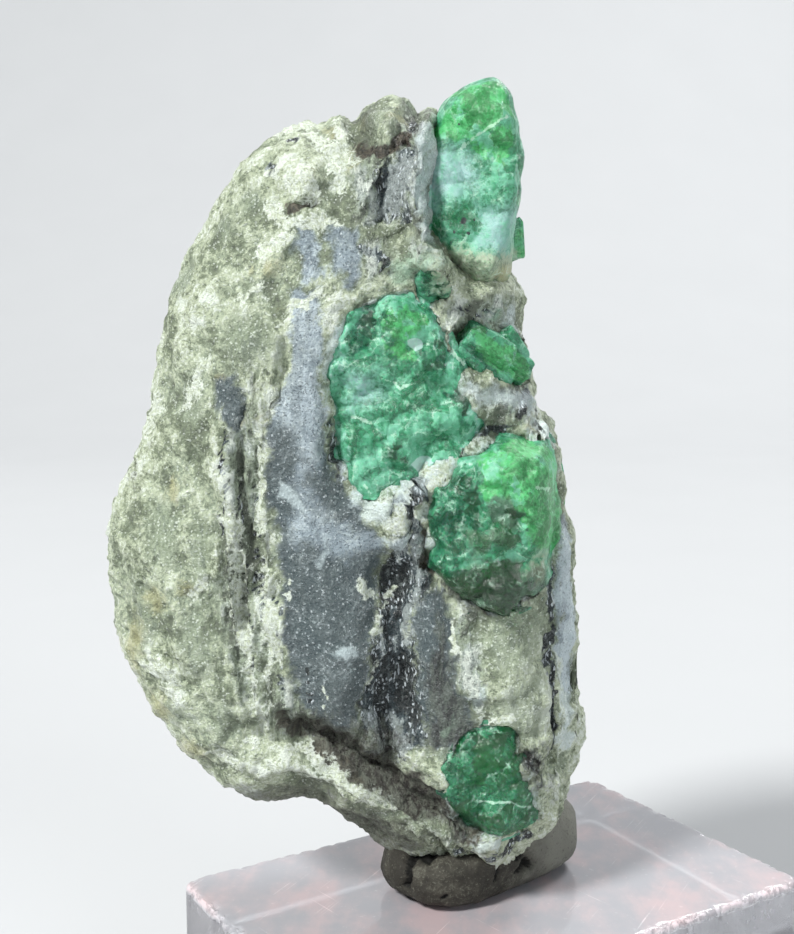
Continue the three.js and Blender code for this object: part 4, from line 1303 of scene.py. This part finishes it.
def emerald_material(name, cloud):
    """Rough emerald: clear green crystal that darkens with depth, clouded by fine cracks and quartz, with
    pale lines painted along its facet edges as highlights. Cloud is how much of it is clouded on average."""
    s = Shader(name)
    fine = s.noise(0.26, 4, 0.62)
    broad = s.noise(1.8, 3, 0.55)
    patchy = s.noise(0.8, 5, 0.66)
    wander = {"Vector": s.place, "Scale": 1.1, "Detail": 4, "Roughness": 0.6}
    warp = s.node("ShaderNodeTexNoise", wander, "Color")
    bent = s.vector("ADD", s.place, s.vector("SCALE", warp, scale=1.1))
    facets, chips = s.cells(FACET_SIZE, place=bent), s.cells(CHIP_SIZE, place=bent)
    facet, chip = s.part(facets, 0), s.part(chips, 0)
    facet_rim = s.cells(FACET_SIZE, "Distance", place=bent, feature="DISTANCE_TO_EDGE")
    chip_rim = s.cells(CHIP_SIZE, "Distance", place=bent, feature="DISTANCE_TO_EDGE")
    block = s.mask("block")
    ripple = (fine - 0.5) * 0.6 + (patchy - 0.5) * 0.8
    milky = s.step(s.mask("milky") + ripple, 0.1, 1.05)
    white = s.step(s.mask("white") + (patchy - 0.5) * 2.4 + (fine - 0.5) * 1.2, 0.5, 0.8)
    grain = s.step(s.mask("grains") + (fine - 0.5) * 0.5, 0.4, 0.7)
    dusty = s.step(s.mask("dusty") + ripple, 0.25, 0.8)
    schisty = s.step(s.mask("schisty") + ripple, 0.3, 0.7)
    specks = s.step(s.mask("specks") + (fine - 0.5) * 0.8, 0.4, 0.55)
    deep = s.step(s.mask("deep") + ripple, 0.3, 0.75)
    bright = s.step(s.mask("bright") + ripple, 0.3, 0.75)
    rimmed = s.step(s.mask("rim") + ripple * 1.4, 0.45, 1.0)
    # painted highlight: pale lines along the edges of facets and chips, where light would catch
    steps = s.step(facet_rim, 0.07, 0.02) * s.step(patchy, 0.47, 0.6)
    steps = steps + s.step(chip_rim, 0.14, 0.05) * s.step(patchy, 0.55, 0.64)
    steps = steps * (1 - bright * 0.5) * (1 - milky * 0.8)

    tone = broad * 0.8 + (facet - 0.5) * 0.30 + (chip - 0.5) * 0.22 + (block - 0.5) * 0.2
    tone = tone + (patchy - 0.5) * 0.4
    colour = s.mix(s.step(tone, 0.28, 0.66), EMERALD, MINT)
    # bright and deep patches, which on the dome are partly painted light and painted shade
    colour = s.mix(bright * 0.85, colour, s.mix(s.step(tone, 0.45, 0.7), BRIGHT_EMERALD, MINT))
    colour = s.mix(deep * 0.92, colour, s.mix(s.step(tone, 0.3, 0.65), DEEP_EMERALD, EMERALD))
    colour = s.mix(milky * 0.85, colour, s.mix(s.step(patchy, 0.45, 0.7), MILK, MINT))
    dust = s.mix(s.step(fine * 0.6 + patchy * 0.5, 0.36, 0.6), CLOUDED_BROWN_AND_SHADE, CLOUDED_GREY)
    dust = s.mix(s.step(s.mask("rust") + ripple, 0.3, 0.9) * 0.5, dust, RUSTY)
    colour = s.mix(dusty * 0.85, colour, dust)
    # painted shade: the dome's hollows and lower part darkened towards brown
    colour = s.mix(s.step(s.mask("cavity") + ripple, 0.2, 0.9) * 0.66, colour, CLOUDED_BROWN_AND_SHADE)
    flaky = s.mix(s.step(fine * 0.5 + patchy * 0.5, 0.42, 0.58), SLATE_QUARTZ, SILVER_MICA)
    colour = s.mix(schisty * 0.9, colour, flaky)
    colour = s.mix(rimmed * 0.45, colour, s.mix(s.step(patchy, 0.45, 0.65), MINT, MILK))
    colour = s.mix(steps * 0.34, colour, PALE_SEAM_AND_EDGE_HIGHLIGHT)
    # white quartz seams, and painted highlights along the crown's edges
    colour = s.mix(white * 0.6, colour, PALE_SEAM_AND_EDGE_HIGHLIGHT)
    colour = s.mix(grain * 0.5, colour, PALE_QUARTZ)
    colour = s.mix(specks, colour, BLACK_MICA)

    still = milky * 0.9 + dusty * 0.3 + schisty * 0.5
    lean = s.tilted(s.mix(0.5, facets, chips), 0.62 - still * 0.3)
    normal = s.bump(fine * 0.8 + patchy * 0.8 + s.noise(0.11, 2) * 0.3, 0.12, lean)
    rough = 0.26 + fine * 0.22 + milky * 0.1 + (dusty + schisty) * 0.25
    clouded = s.surface(
        Base_Color=colour, Roughness=rough, Normal=normal, Specular_IOR_Level=0.45, Subsurface_Weight=0.5,
        Subsurface_Radius=(0.4, 1.0, 0.6), Subsurface_Scale=0.5 * MM,
    )
    clear = s.surface(
        Base_Color=GLASS_TINT, Roughness=rough * 0.6, Normal=normal, IOR=BERYL_IOR, Transmission_Weight=1.0,
    )
    share = s.step(fine + (block - 0.5) * 0.4 + (facet - 0.5) * 0.3, 0.25, 0.75) * 0.45 + (cloud - 0.2)
    share = share + milky * 0.4 + white * 0.6 + dusty * 0.7 + schisty + specks
    share = share + grain * 0.6 + steps * 0.25 + rimmed * 0.3
    share = s.step(share - deep * 0.2, 0.0, 1.0)
    body = s.node("ShaderNodeMixShader", {0: share, 1: clear, 2: clouded})
    depth = s.node("ShaderNodeVolumeAbsorption", {"Color": ABSORBED, "Density": ABSORBED_DENSITY})
    return s.done(body, depth)


def make_crystal(name, surface, material, node):
    """A crystal of one closed surface, with its colour masks, that stands for a CAD node."""
    first, rings, last = surface
    masks = {
        mask: np.concatenate([values.ravel()[:1], values.ravel(), values.ravel()[-1:]])
        for mask, values in tints(rings).items()
    }
    finish_piece(build(name, shell(first, rings, last), masks), material, node)


def make_emeralds():
    """All seven: the crown, the four that sit in the stone's face, and the two groups of prisms."""
    clear, clouded = emerald_material("clear_emerald", 0.5), emerald_material("clouded_emerald", 0.62)
    make_crystal("crown_crystal", with_grain(crown_surface(), 0.08, 1.2, 101), clouded, "emerald_crown")
    for name, node, material in (
        ("heart", "emerald_heart_cluster", clouded),
        ("dome", "emerald_dome", clouded),
        ("foot", "emerald_foot", clear),
        ("bud", "emerald_bud", clear),
    ):
        outline, form = SEATED[name]
        surface = with_grain(seated_crystal(outline, **form), 0.06, 0.8, 111)
        make_crystal(name + "_crystals", surface, material, node)
    make_crystal("edge_prism_crystal", prism_surface(seed=5, **EDGE_PRISM), clear, "emerald_edge_prism")
    prisms = [prism_surface(seed=7 + i, **prism) for i, prism in enumerate(FLANK_PRISMS)]
    points, quads, fans = together([shell(*prism) for prism in prisms])
    group = build("flank_prism_crystals", (points, quads, fans), tints(points))
    finish_piece(group, clouded, "emerald_flank_prisms")


# ---------------------------------------------------------------------------------------------------
# The stand: a lump of mineral tack on a clear acrylic block.
# ---------------------------------------------------------------------------------------------------

TACK_LENGTH, TACK_WIDTH, TACK_HEIGHT = 16.0, 8.8, 4.5
TACK_MIDDLE, TACK_TURN = (-0.8, 0.8), math.radians(38)
TACK_SQUARENESS = 0.62  # power of the plan's rounded outline, 1 for an ellipse and 0 for a box
TACK_CRACKS = [  # depth and reach in mm, and the line in X and Z on the side towards the front; the material fills them with painted shade
    (0.8, 0.2, [(-6.7, 1.4), (-6.6, 2.4), (-6.5, 3.2), (-6.0, 3.9)]),
    (0.5, 0.18, [(-6.0, 3.9), (-5.0, 3.8), (-4.2, 4.3)]),
    (0.35, 0.12, [(-0.1, 3.4), (0, 2.6), (-0.1, 1.8)]),
    (0.9, 0.3, [(2.0, 2.9), (2.3, 2.4), (2.7, 1.9)]),
    (0.6, 0.22, [(2.3, 2.0), (2.0, 1.7)]),
    (0.5, 0.18, [(1.3, 3.4), (1.7, 3.1)]),
    (0.25, 0.14, [(-3.9, 1.3), (-3.7, 1.5)]),
]
BLOCK_LENGTH, BLOCK_WIDTH, BLOCK_TURN = 40.0, 24.5, math.radians(31.5)
BLOCK_CORNER, BLOCK_BEVEL = 1.2, 0.5
CORNER_POINTS, SIDE_STEPS = 14, 110

# Colours of the stand, linear.
TACK_CRACK_SHADE = (0.004, 0.004, 0.003, 1)
TACK_DARK = (0.024, 0.022, 0.017, 1)
TACK_GREY = (0.052, 0.049, 0.038, 1)
TACK_PALE = (0.24, 0.245, 0.21, 1)
TACK_DUST = (0.17, 0.175, 0.14, 1)
ACRYLIC_COOL = (0.66, 0.66, 0.71, 1)
ACRYLIC_PINK_REFLECTION = (0.74, 0.59, 0.61, 1)
ACRYLIC_CLEAR = (0.96, 0.97, 0.98, 1)
ACRYLIC_IOR = 1.49


def turned(x, y, turn):
    """X and Y turned about Z."""
    return x * math.cos(turn) - y * math.sin(turn), x * math.sin(turn) + y * math.cos(turn)


def powered(value, power):
    """The size of a number to a power, with the number's sign."""
    return np.sign(value) * np.abs(value) ** power


def tack_surface():
    """A kneaded lump: rings on a plan of sign(c) times c to the power of the squareness, drawn in towards
    the top and bottom by cos to a small power. It is a little higher at its right end. Finger hollows, fine
    grain, cracks and pits then move it along its normals. Also gives the mask of the cracks, which the
    material fills with painted shade."""
    turn = np.linspace(0, 2 * math.pi, 300, endpoint=False)
    tilt = np.linspace(-math.pi / 2, math.pi / 2, 92)[1:-1, None]
    plan_x, plan_y = powered(np.cos(turn), TACK_SQUARENESS), powered(np.sin(turn), TACK_SQUARENESS)
    share = np.cos(tilt) ** 0.3
    level = 0.5 + 0.5 * powered(np.sin(tilt), 0.8)
    x, y = turned(share * plan_x * TACK_LENGTH / 2, share * plan_y * TACK_WIDTH / 2, TACK_TURN)
    knob, knob_x, knob_reach = 1.1, 4.6, 2.2  # the rise at the right end
    height = TACK_HEIGHT * (1 + 0.12 * share * plan_x) + knob * np.exp(-(((x - knob_x) / knob_reach) ** 2))
    rings = np.stack([x + TACK_MIDDLE[0], y + TACK_MIDDLE[1], level * height], -1)
    poles = [np.array([*TACK_MIDDLE, 0.0]), np.array([*TACK_MIDDLE, TACK_HEIGHT])]
    normal = outward(rings, *poles)
    x, z = rings[..., 0], rings[..., 2]
    front = smooth(-normal[..., 1], -0.4, 0.1)
    fold = 0.30 * crags(rings, 3.4, 131, 3) + 0.05 * crags(rings, 0.6, 134, 2)
    wander = 0.12 * crags(rings, 0.5, 137, 2)
    painted_crack_shade = np.zeros_like(x)
    for depth, reach, line in TACK_CRACKS:
        crack = stroke(line, reach, x + wander, z) * front
        fold = fold - depth * crack
        painted_crack_shade = np.maximum(painted_crack_shade, crack)
    fold = fold * smooth(level, 0.0, 0.12)
    surface = poles[0], rings + normal * fold[..., None], poles[1]
    return surface, np.concatenate([[0], painted_crack_shade.ravel(), [0]])


def tack_material():
    """Grey-brown putty: dull, paler towards its right end, with dust, dark pinholes and painted shade in its
    cracks.
    """
    s = Shader("mineral_tack")
    smears = s.noise(1.6, 5, 0.62)
    grain = s.noise(0.16, 3, 0.6)
    specks = s.part(s.cells(0.14), 0)
    colour = s.mix(s.step(smears, 0.38, 0.66), TACK_DARK, TACK_GREY)
    # paler towards the right end
    along = s.node("ShaderNodeSeparateXYZ", {0: s.place}, "X")
    colour = s.mix(s.step(along + (smears - 0.5) * 3, 0.5, 5.0) * 0.7, colour, TACK_PALE)
    colour = s.mix(s.step(grain + (smears - 0.5) * 0.8, 0.52, 0.76) * 0.36, colour, TACK_DUST)
    colour = s.mix(s.step(specks + (grain - 0.5), 0.94, 1.0) * 0.3, colour, TACK_DUST)
    colour = s.mix(s.step(specks + (grain - 0.5), 0.06, 0.0) * 0.5, colour, TACK_DARK)
    # painted shade: the cracks blackened
    colour = s.mix(s.step(s.mask("painted_crack_shade") + (grain - 0.5) * 0.8, 0.2, 0.55), colour, TACK_CRACK_SHADE)
    normal = s.bump(grain * 0.7 + smears, 0.14)
    rough = 0.62 + grain * 0.3
    return s.done(s.surface(Base_Color=colour, Roughness=rough, Normal=normal, Specular_IOR_Level=0.35))


def block_ring(inset, z):
    """A rounded rectangle drawn in by inset: four quarter circles joined by straight sides."""
    radius = max(BLOCK_CORNER - inset, 0.02)
    half = BLOCK_LENGTH / 2 - BLOCK_CORNER, BLOCK_WIDTH / 2 - BLOCK_CORNER
    if inset > BLOCK_CORNER:
        half = half[0] - (inset - BLOCK_CORNER), half[1] - (inset - BLOCK_CORNER)
    points = []
    for quarter, (sx, sy) in enumerate([(1, 1), (-1, 1), (-1, -1), (1, -1)]):
        turn = (quarter + np.linspace(0, 1, CORNER_POINTS)) * math.pi / 2
        corner_x, corner_y = sx * half[0] + radius * np.cos(turn), sy * half[1] + radius * np.sin(turn)
        points.append(np.stack([corner_x, corner_y], -1))
    ring = []
    for quarter in range(4):
        ring.append(points[quarter])
        start, end = points[quarter][-1], points[(quarter + 1) % 4][0]
        ring.append(start + (end - start) * (np.arange(1, SIDE_STEPS) / SIDE_STEPS)[:, None])
    ring = np.vstack(ring)
    x, y = turned(ring[:, 0], ring[:, 1], BLOCK_TURN)
    return np.stack([x, y, np.full_like(x, z)], -1)


def block_surface():
    """The block: rounded rectangles, drawn in along a quarter circle at the lower and upper edges, and then
    towards the middle of the flat faces. The upper edge is chipped."""
    low = BLOCK_LOW.z / MM - BLOCK_TOP
    turn = np.linspace(0, math.pi / 2, 8)
    edge = [(BLOCK_BEVEL * (1 - math.sin(a)), BLOCK_BEVEL * (1 - math.cos(a))) for a in turn]
    inner = [12.0, 8.0, 4.0, 2.0, 1.0]
    side = np.linspace(low + BLOCK_BEVEL, -BLOCK_BEVEL, 10)[1:-1]
    profile = [(inset, low) for inset in inner] + [(inset, low + rise) for inset, rise in edge]
    profile += [(0.0, z) for z in side]
    profile += [(inset, -rise) for inset, rise in edge[::-1]] + [(inset, 0.0) for inset in inner[::-1]]
    rings = np.stack([block_ring(inset, z) for inset, z in profile])
    poles = [np.array([0, 0, low]), np.array([0, 0, 0.0])]
    insets, heights = np.array(profile).T
    upper_edge = smooth(-insets, -0.6, -0.4) * smooth(heights, -1.4, -0.5)
    chips = np.maximum(crags(rings, 1.1, 151, 4, gain=0.65), 0) * upper_edge[:, None]
    return poles[0], rings - outward(rings, *poles) * (0.3 * chips)[..., None], poles[1]


def turned_by(s, angle):
    """Object coordinates turned about Z."""
    return s.node("ShaderNodeVectorRotate", {"Vector": s.place, "Axis": (0, 0, 1), "Angle": angle})


def acrylic_material():
    """Clear acrylic: polished, slightly hazy on its faces, with fine scratches that run several ways. Its top
    face is milkier and tinted pink as a painted reflection.
    """
    s = Shader("clear_acrylic")
    cloud = s.noise(7.0, 4, 0.6)
    smears = s.noise(3.0, 5, 0.6, stretch=(1.0, 0.4, 1.0))
    marks = s.noise(0.5, 3, 0.6)
    scratches = s.step(s.noise(0.14, 2, 0.5, turned_by(s, 0.5), (1.0, 0.015, 0.3)), 0.66, 0.76)
    scratches = scratches + s.step(s.noise(0.2, 2, 0.5, turned_by(s, -0.7), (1.0, 0.02, 0.3)), 0.68, 0.78)
    scratches = scratches * s.step(smears, 0.44, 0.62)
    haze = s.step(cloud + (smears - 0.5) * 0.9, 0.32, 0.72)
    height = s.node("ShaderNodeSeparateXYZ", {0: s.place}, "Z") - BLOCK_TOP  # over the block's top face
    # painted reflection: on the top face the milky layer grows and turns pink; elsewhere it is haze
    upper = s.step(height, -0.7, -0.1)
    haze_and_reflection_tint = s.mix(haze * (0.1 + upper * 0.9), ACRYLIC_COOL, ACRYLIC_PINK_REFLECTION)
    worn = s.step(marks + (smears - 0.5) * 0.6, 0.4, 0.6)
    edge = s.step(height, -0.7, -0.5) * s.step(height, -0.01, -0.1) * worn
    normal = s.bump(scratches * 0.6 + smears * 0.3 + edge * marks * 14, 0.01)
    clear = s.surface(
        Base_Color=ACRYLIC_CLEAR, Roughness=0.03 + haze * 0.06, Normal=normal, IOR=ACRYLIC_IOR,
        Transmission_Weight=1.0,
    )
    milky = s.surface(Base_Color=haze_and_reflection_tint, Roughness=0.3, Normal=normal, Coat_Weight=0.5, Coat_Roughness=0.05)
    share = 0.22 + upper * 0.28 + haze * 0.12 + scratches * 0.3
    share = share + s.step(marks, 0.62, 0.75) * 0.1 + edge * 0.3
    return s.done(s.node("ShaderNodeMixShader", {0: share, 1: clear, 2: milky}))


def make_stand():
    """The tack and the block."""
    surface, painted_crack_shade = tack_surface()
    tack = build("tack_lump", shell(*surface), {"painted_crack_shade": painted_crack_shade})
    finish_piece(tack, tack_material(), "tack")
    block = build("acrylic_block", shell(*block_surface()))
    finish_piece(block, acrylic_material(), "display_block")


# ---------------------------------------------------------------------------------------------------
# Studio.
# ---------------------------------------------------------------------------------------------------

CAMERA_PLACE = (-7.2, -90.8, 42.5)
CAMERA_PITCH = 7.06  # degrees down
CAMERA_LENS = 48.87
LIGHTS = [  # place and aim in mm, width in mm, power in watts, colour
    ("key", (-750, -690, 990), (-10, 0, 30), 270, 28.0, (1.0, 1.0, 0.98)),
    ("fill", (780, -900, 480), (-6, 0, 28), 600, 5.0, (0.94, 0.97, 1.0)),
    ("rim", (480, 510, 900), (-2, 0, 40), 360, 8.0, (1.0, 1.0, 1.0)),
]
WORLD_STRENGTH = 0.28


def make_backdrop():
    """A pale floor that sweeps up behind: a profile of a flat run, a quarter circle and a wall, carried
    along X."""
    reach, flat, sweep, wall = 1500.0, 400.0, 500.0, 1500.0
    turn = np.linspace(0, math.pi / 2, 25)
    y = np.concatenate([[-reach], flat + sweep * np.sin(turn), [flat + sweep]])
    z = np.concatenate([[0], sweep * (1 - np.cos(turn)), [wall]]) - BLOCK_TOP
    x = np.array([-reach, reach])
    points = np.stack(np.broadcast_arrays(x[:, None], y, z), -1)
    along = np.arange(len(y) - 1)
    quads = np.stack([along, along + len(y), along + len(y) + 1, along + 1], -1)
    floor = build("studio_floor", (points.reshape(-1, 3), quads, np.zeros((0, 3), int)))
    s = Shader("studio_paper")
    tone = s.mix(s.noise(40, 2), (0.46, 0.47, 0.48, 1), (0.48, 0.49, 0.50, 1))
    floor.data.materials.append(s.done(s.surface(Base_Color=tone, Roughness=0.85)))


def aim(thing, place, target):
    """Puts a lamp or camera at a place, looking at a target."""
    place, target = np.array(place, float), np.array(target, float)
    place[2] += BLOCK_TOP
    target[2] += BLOCK_TOP
    dx, dy, dz = target - place
    thing.location = place * MM
    pitch = math.atan2(dz, math.hypot(dx, dy))
    thing.rotation_euler = Euler((math.pi / 2 + pitch, 0, math.atan2(-dx, dy)))


def make_lights():
    """Three round lamps and an even sky."""
    for name, place, target, width, power, colour in LIGHTS:
        lamp = bpy.data.lights.new(name, "AREA")
        lamp.shape = "DISK"
        lamp.size = width * MM
        lamp.energy = power
        lamp.color = colour
        holder = bpy.data.objects.new(name, lamp)
        bpy.context.scene.collection.objects.link(holder)
        aim(holder, place, target)
    world = bpy.data.worlds.new("studio")
    world.use_nodes = True
    world.node_tree.nodes["Background"].inputs["Color"].default_value = (0.86, 0.9, 0.94, 1)
    world.node_tree.nodes["Background"].inputs["Strength"].default_value = WORLD_STRENGTH
    bpy.context.scene.world = world


def make_camera():
    """A camera before the crystals' face, looking along Y and a little down."""
    lens = bpy.data.cameras.new("camera")
    lens.lens = CAMERA_LENS
    lens.sensor_width = 36
    lens.clip_start = 0.002
    camera = bpy.data.objects.new("camera", lens)
    bpy.context.scene.collection.objects.link(camera)
    x, y, z = CAMERA_PLACE
    camera.location = (x * MM, y * MM, (z + BLOCK_TOP) * MM)
    camera.rotation_euler = (math.radians(90 - CAMERA_PITCH), 0, 0)
    bpy.context.scene.camera = camera


make_camera()
make_lights()
make_backdrop()
bpy.context.scene.view_settings.view_transform = "Standard"

make_stone(schist_material())
make_emeralds()
make_stand()
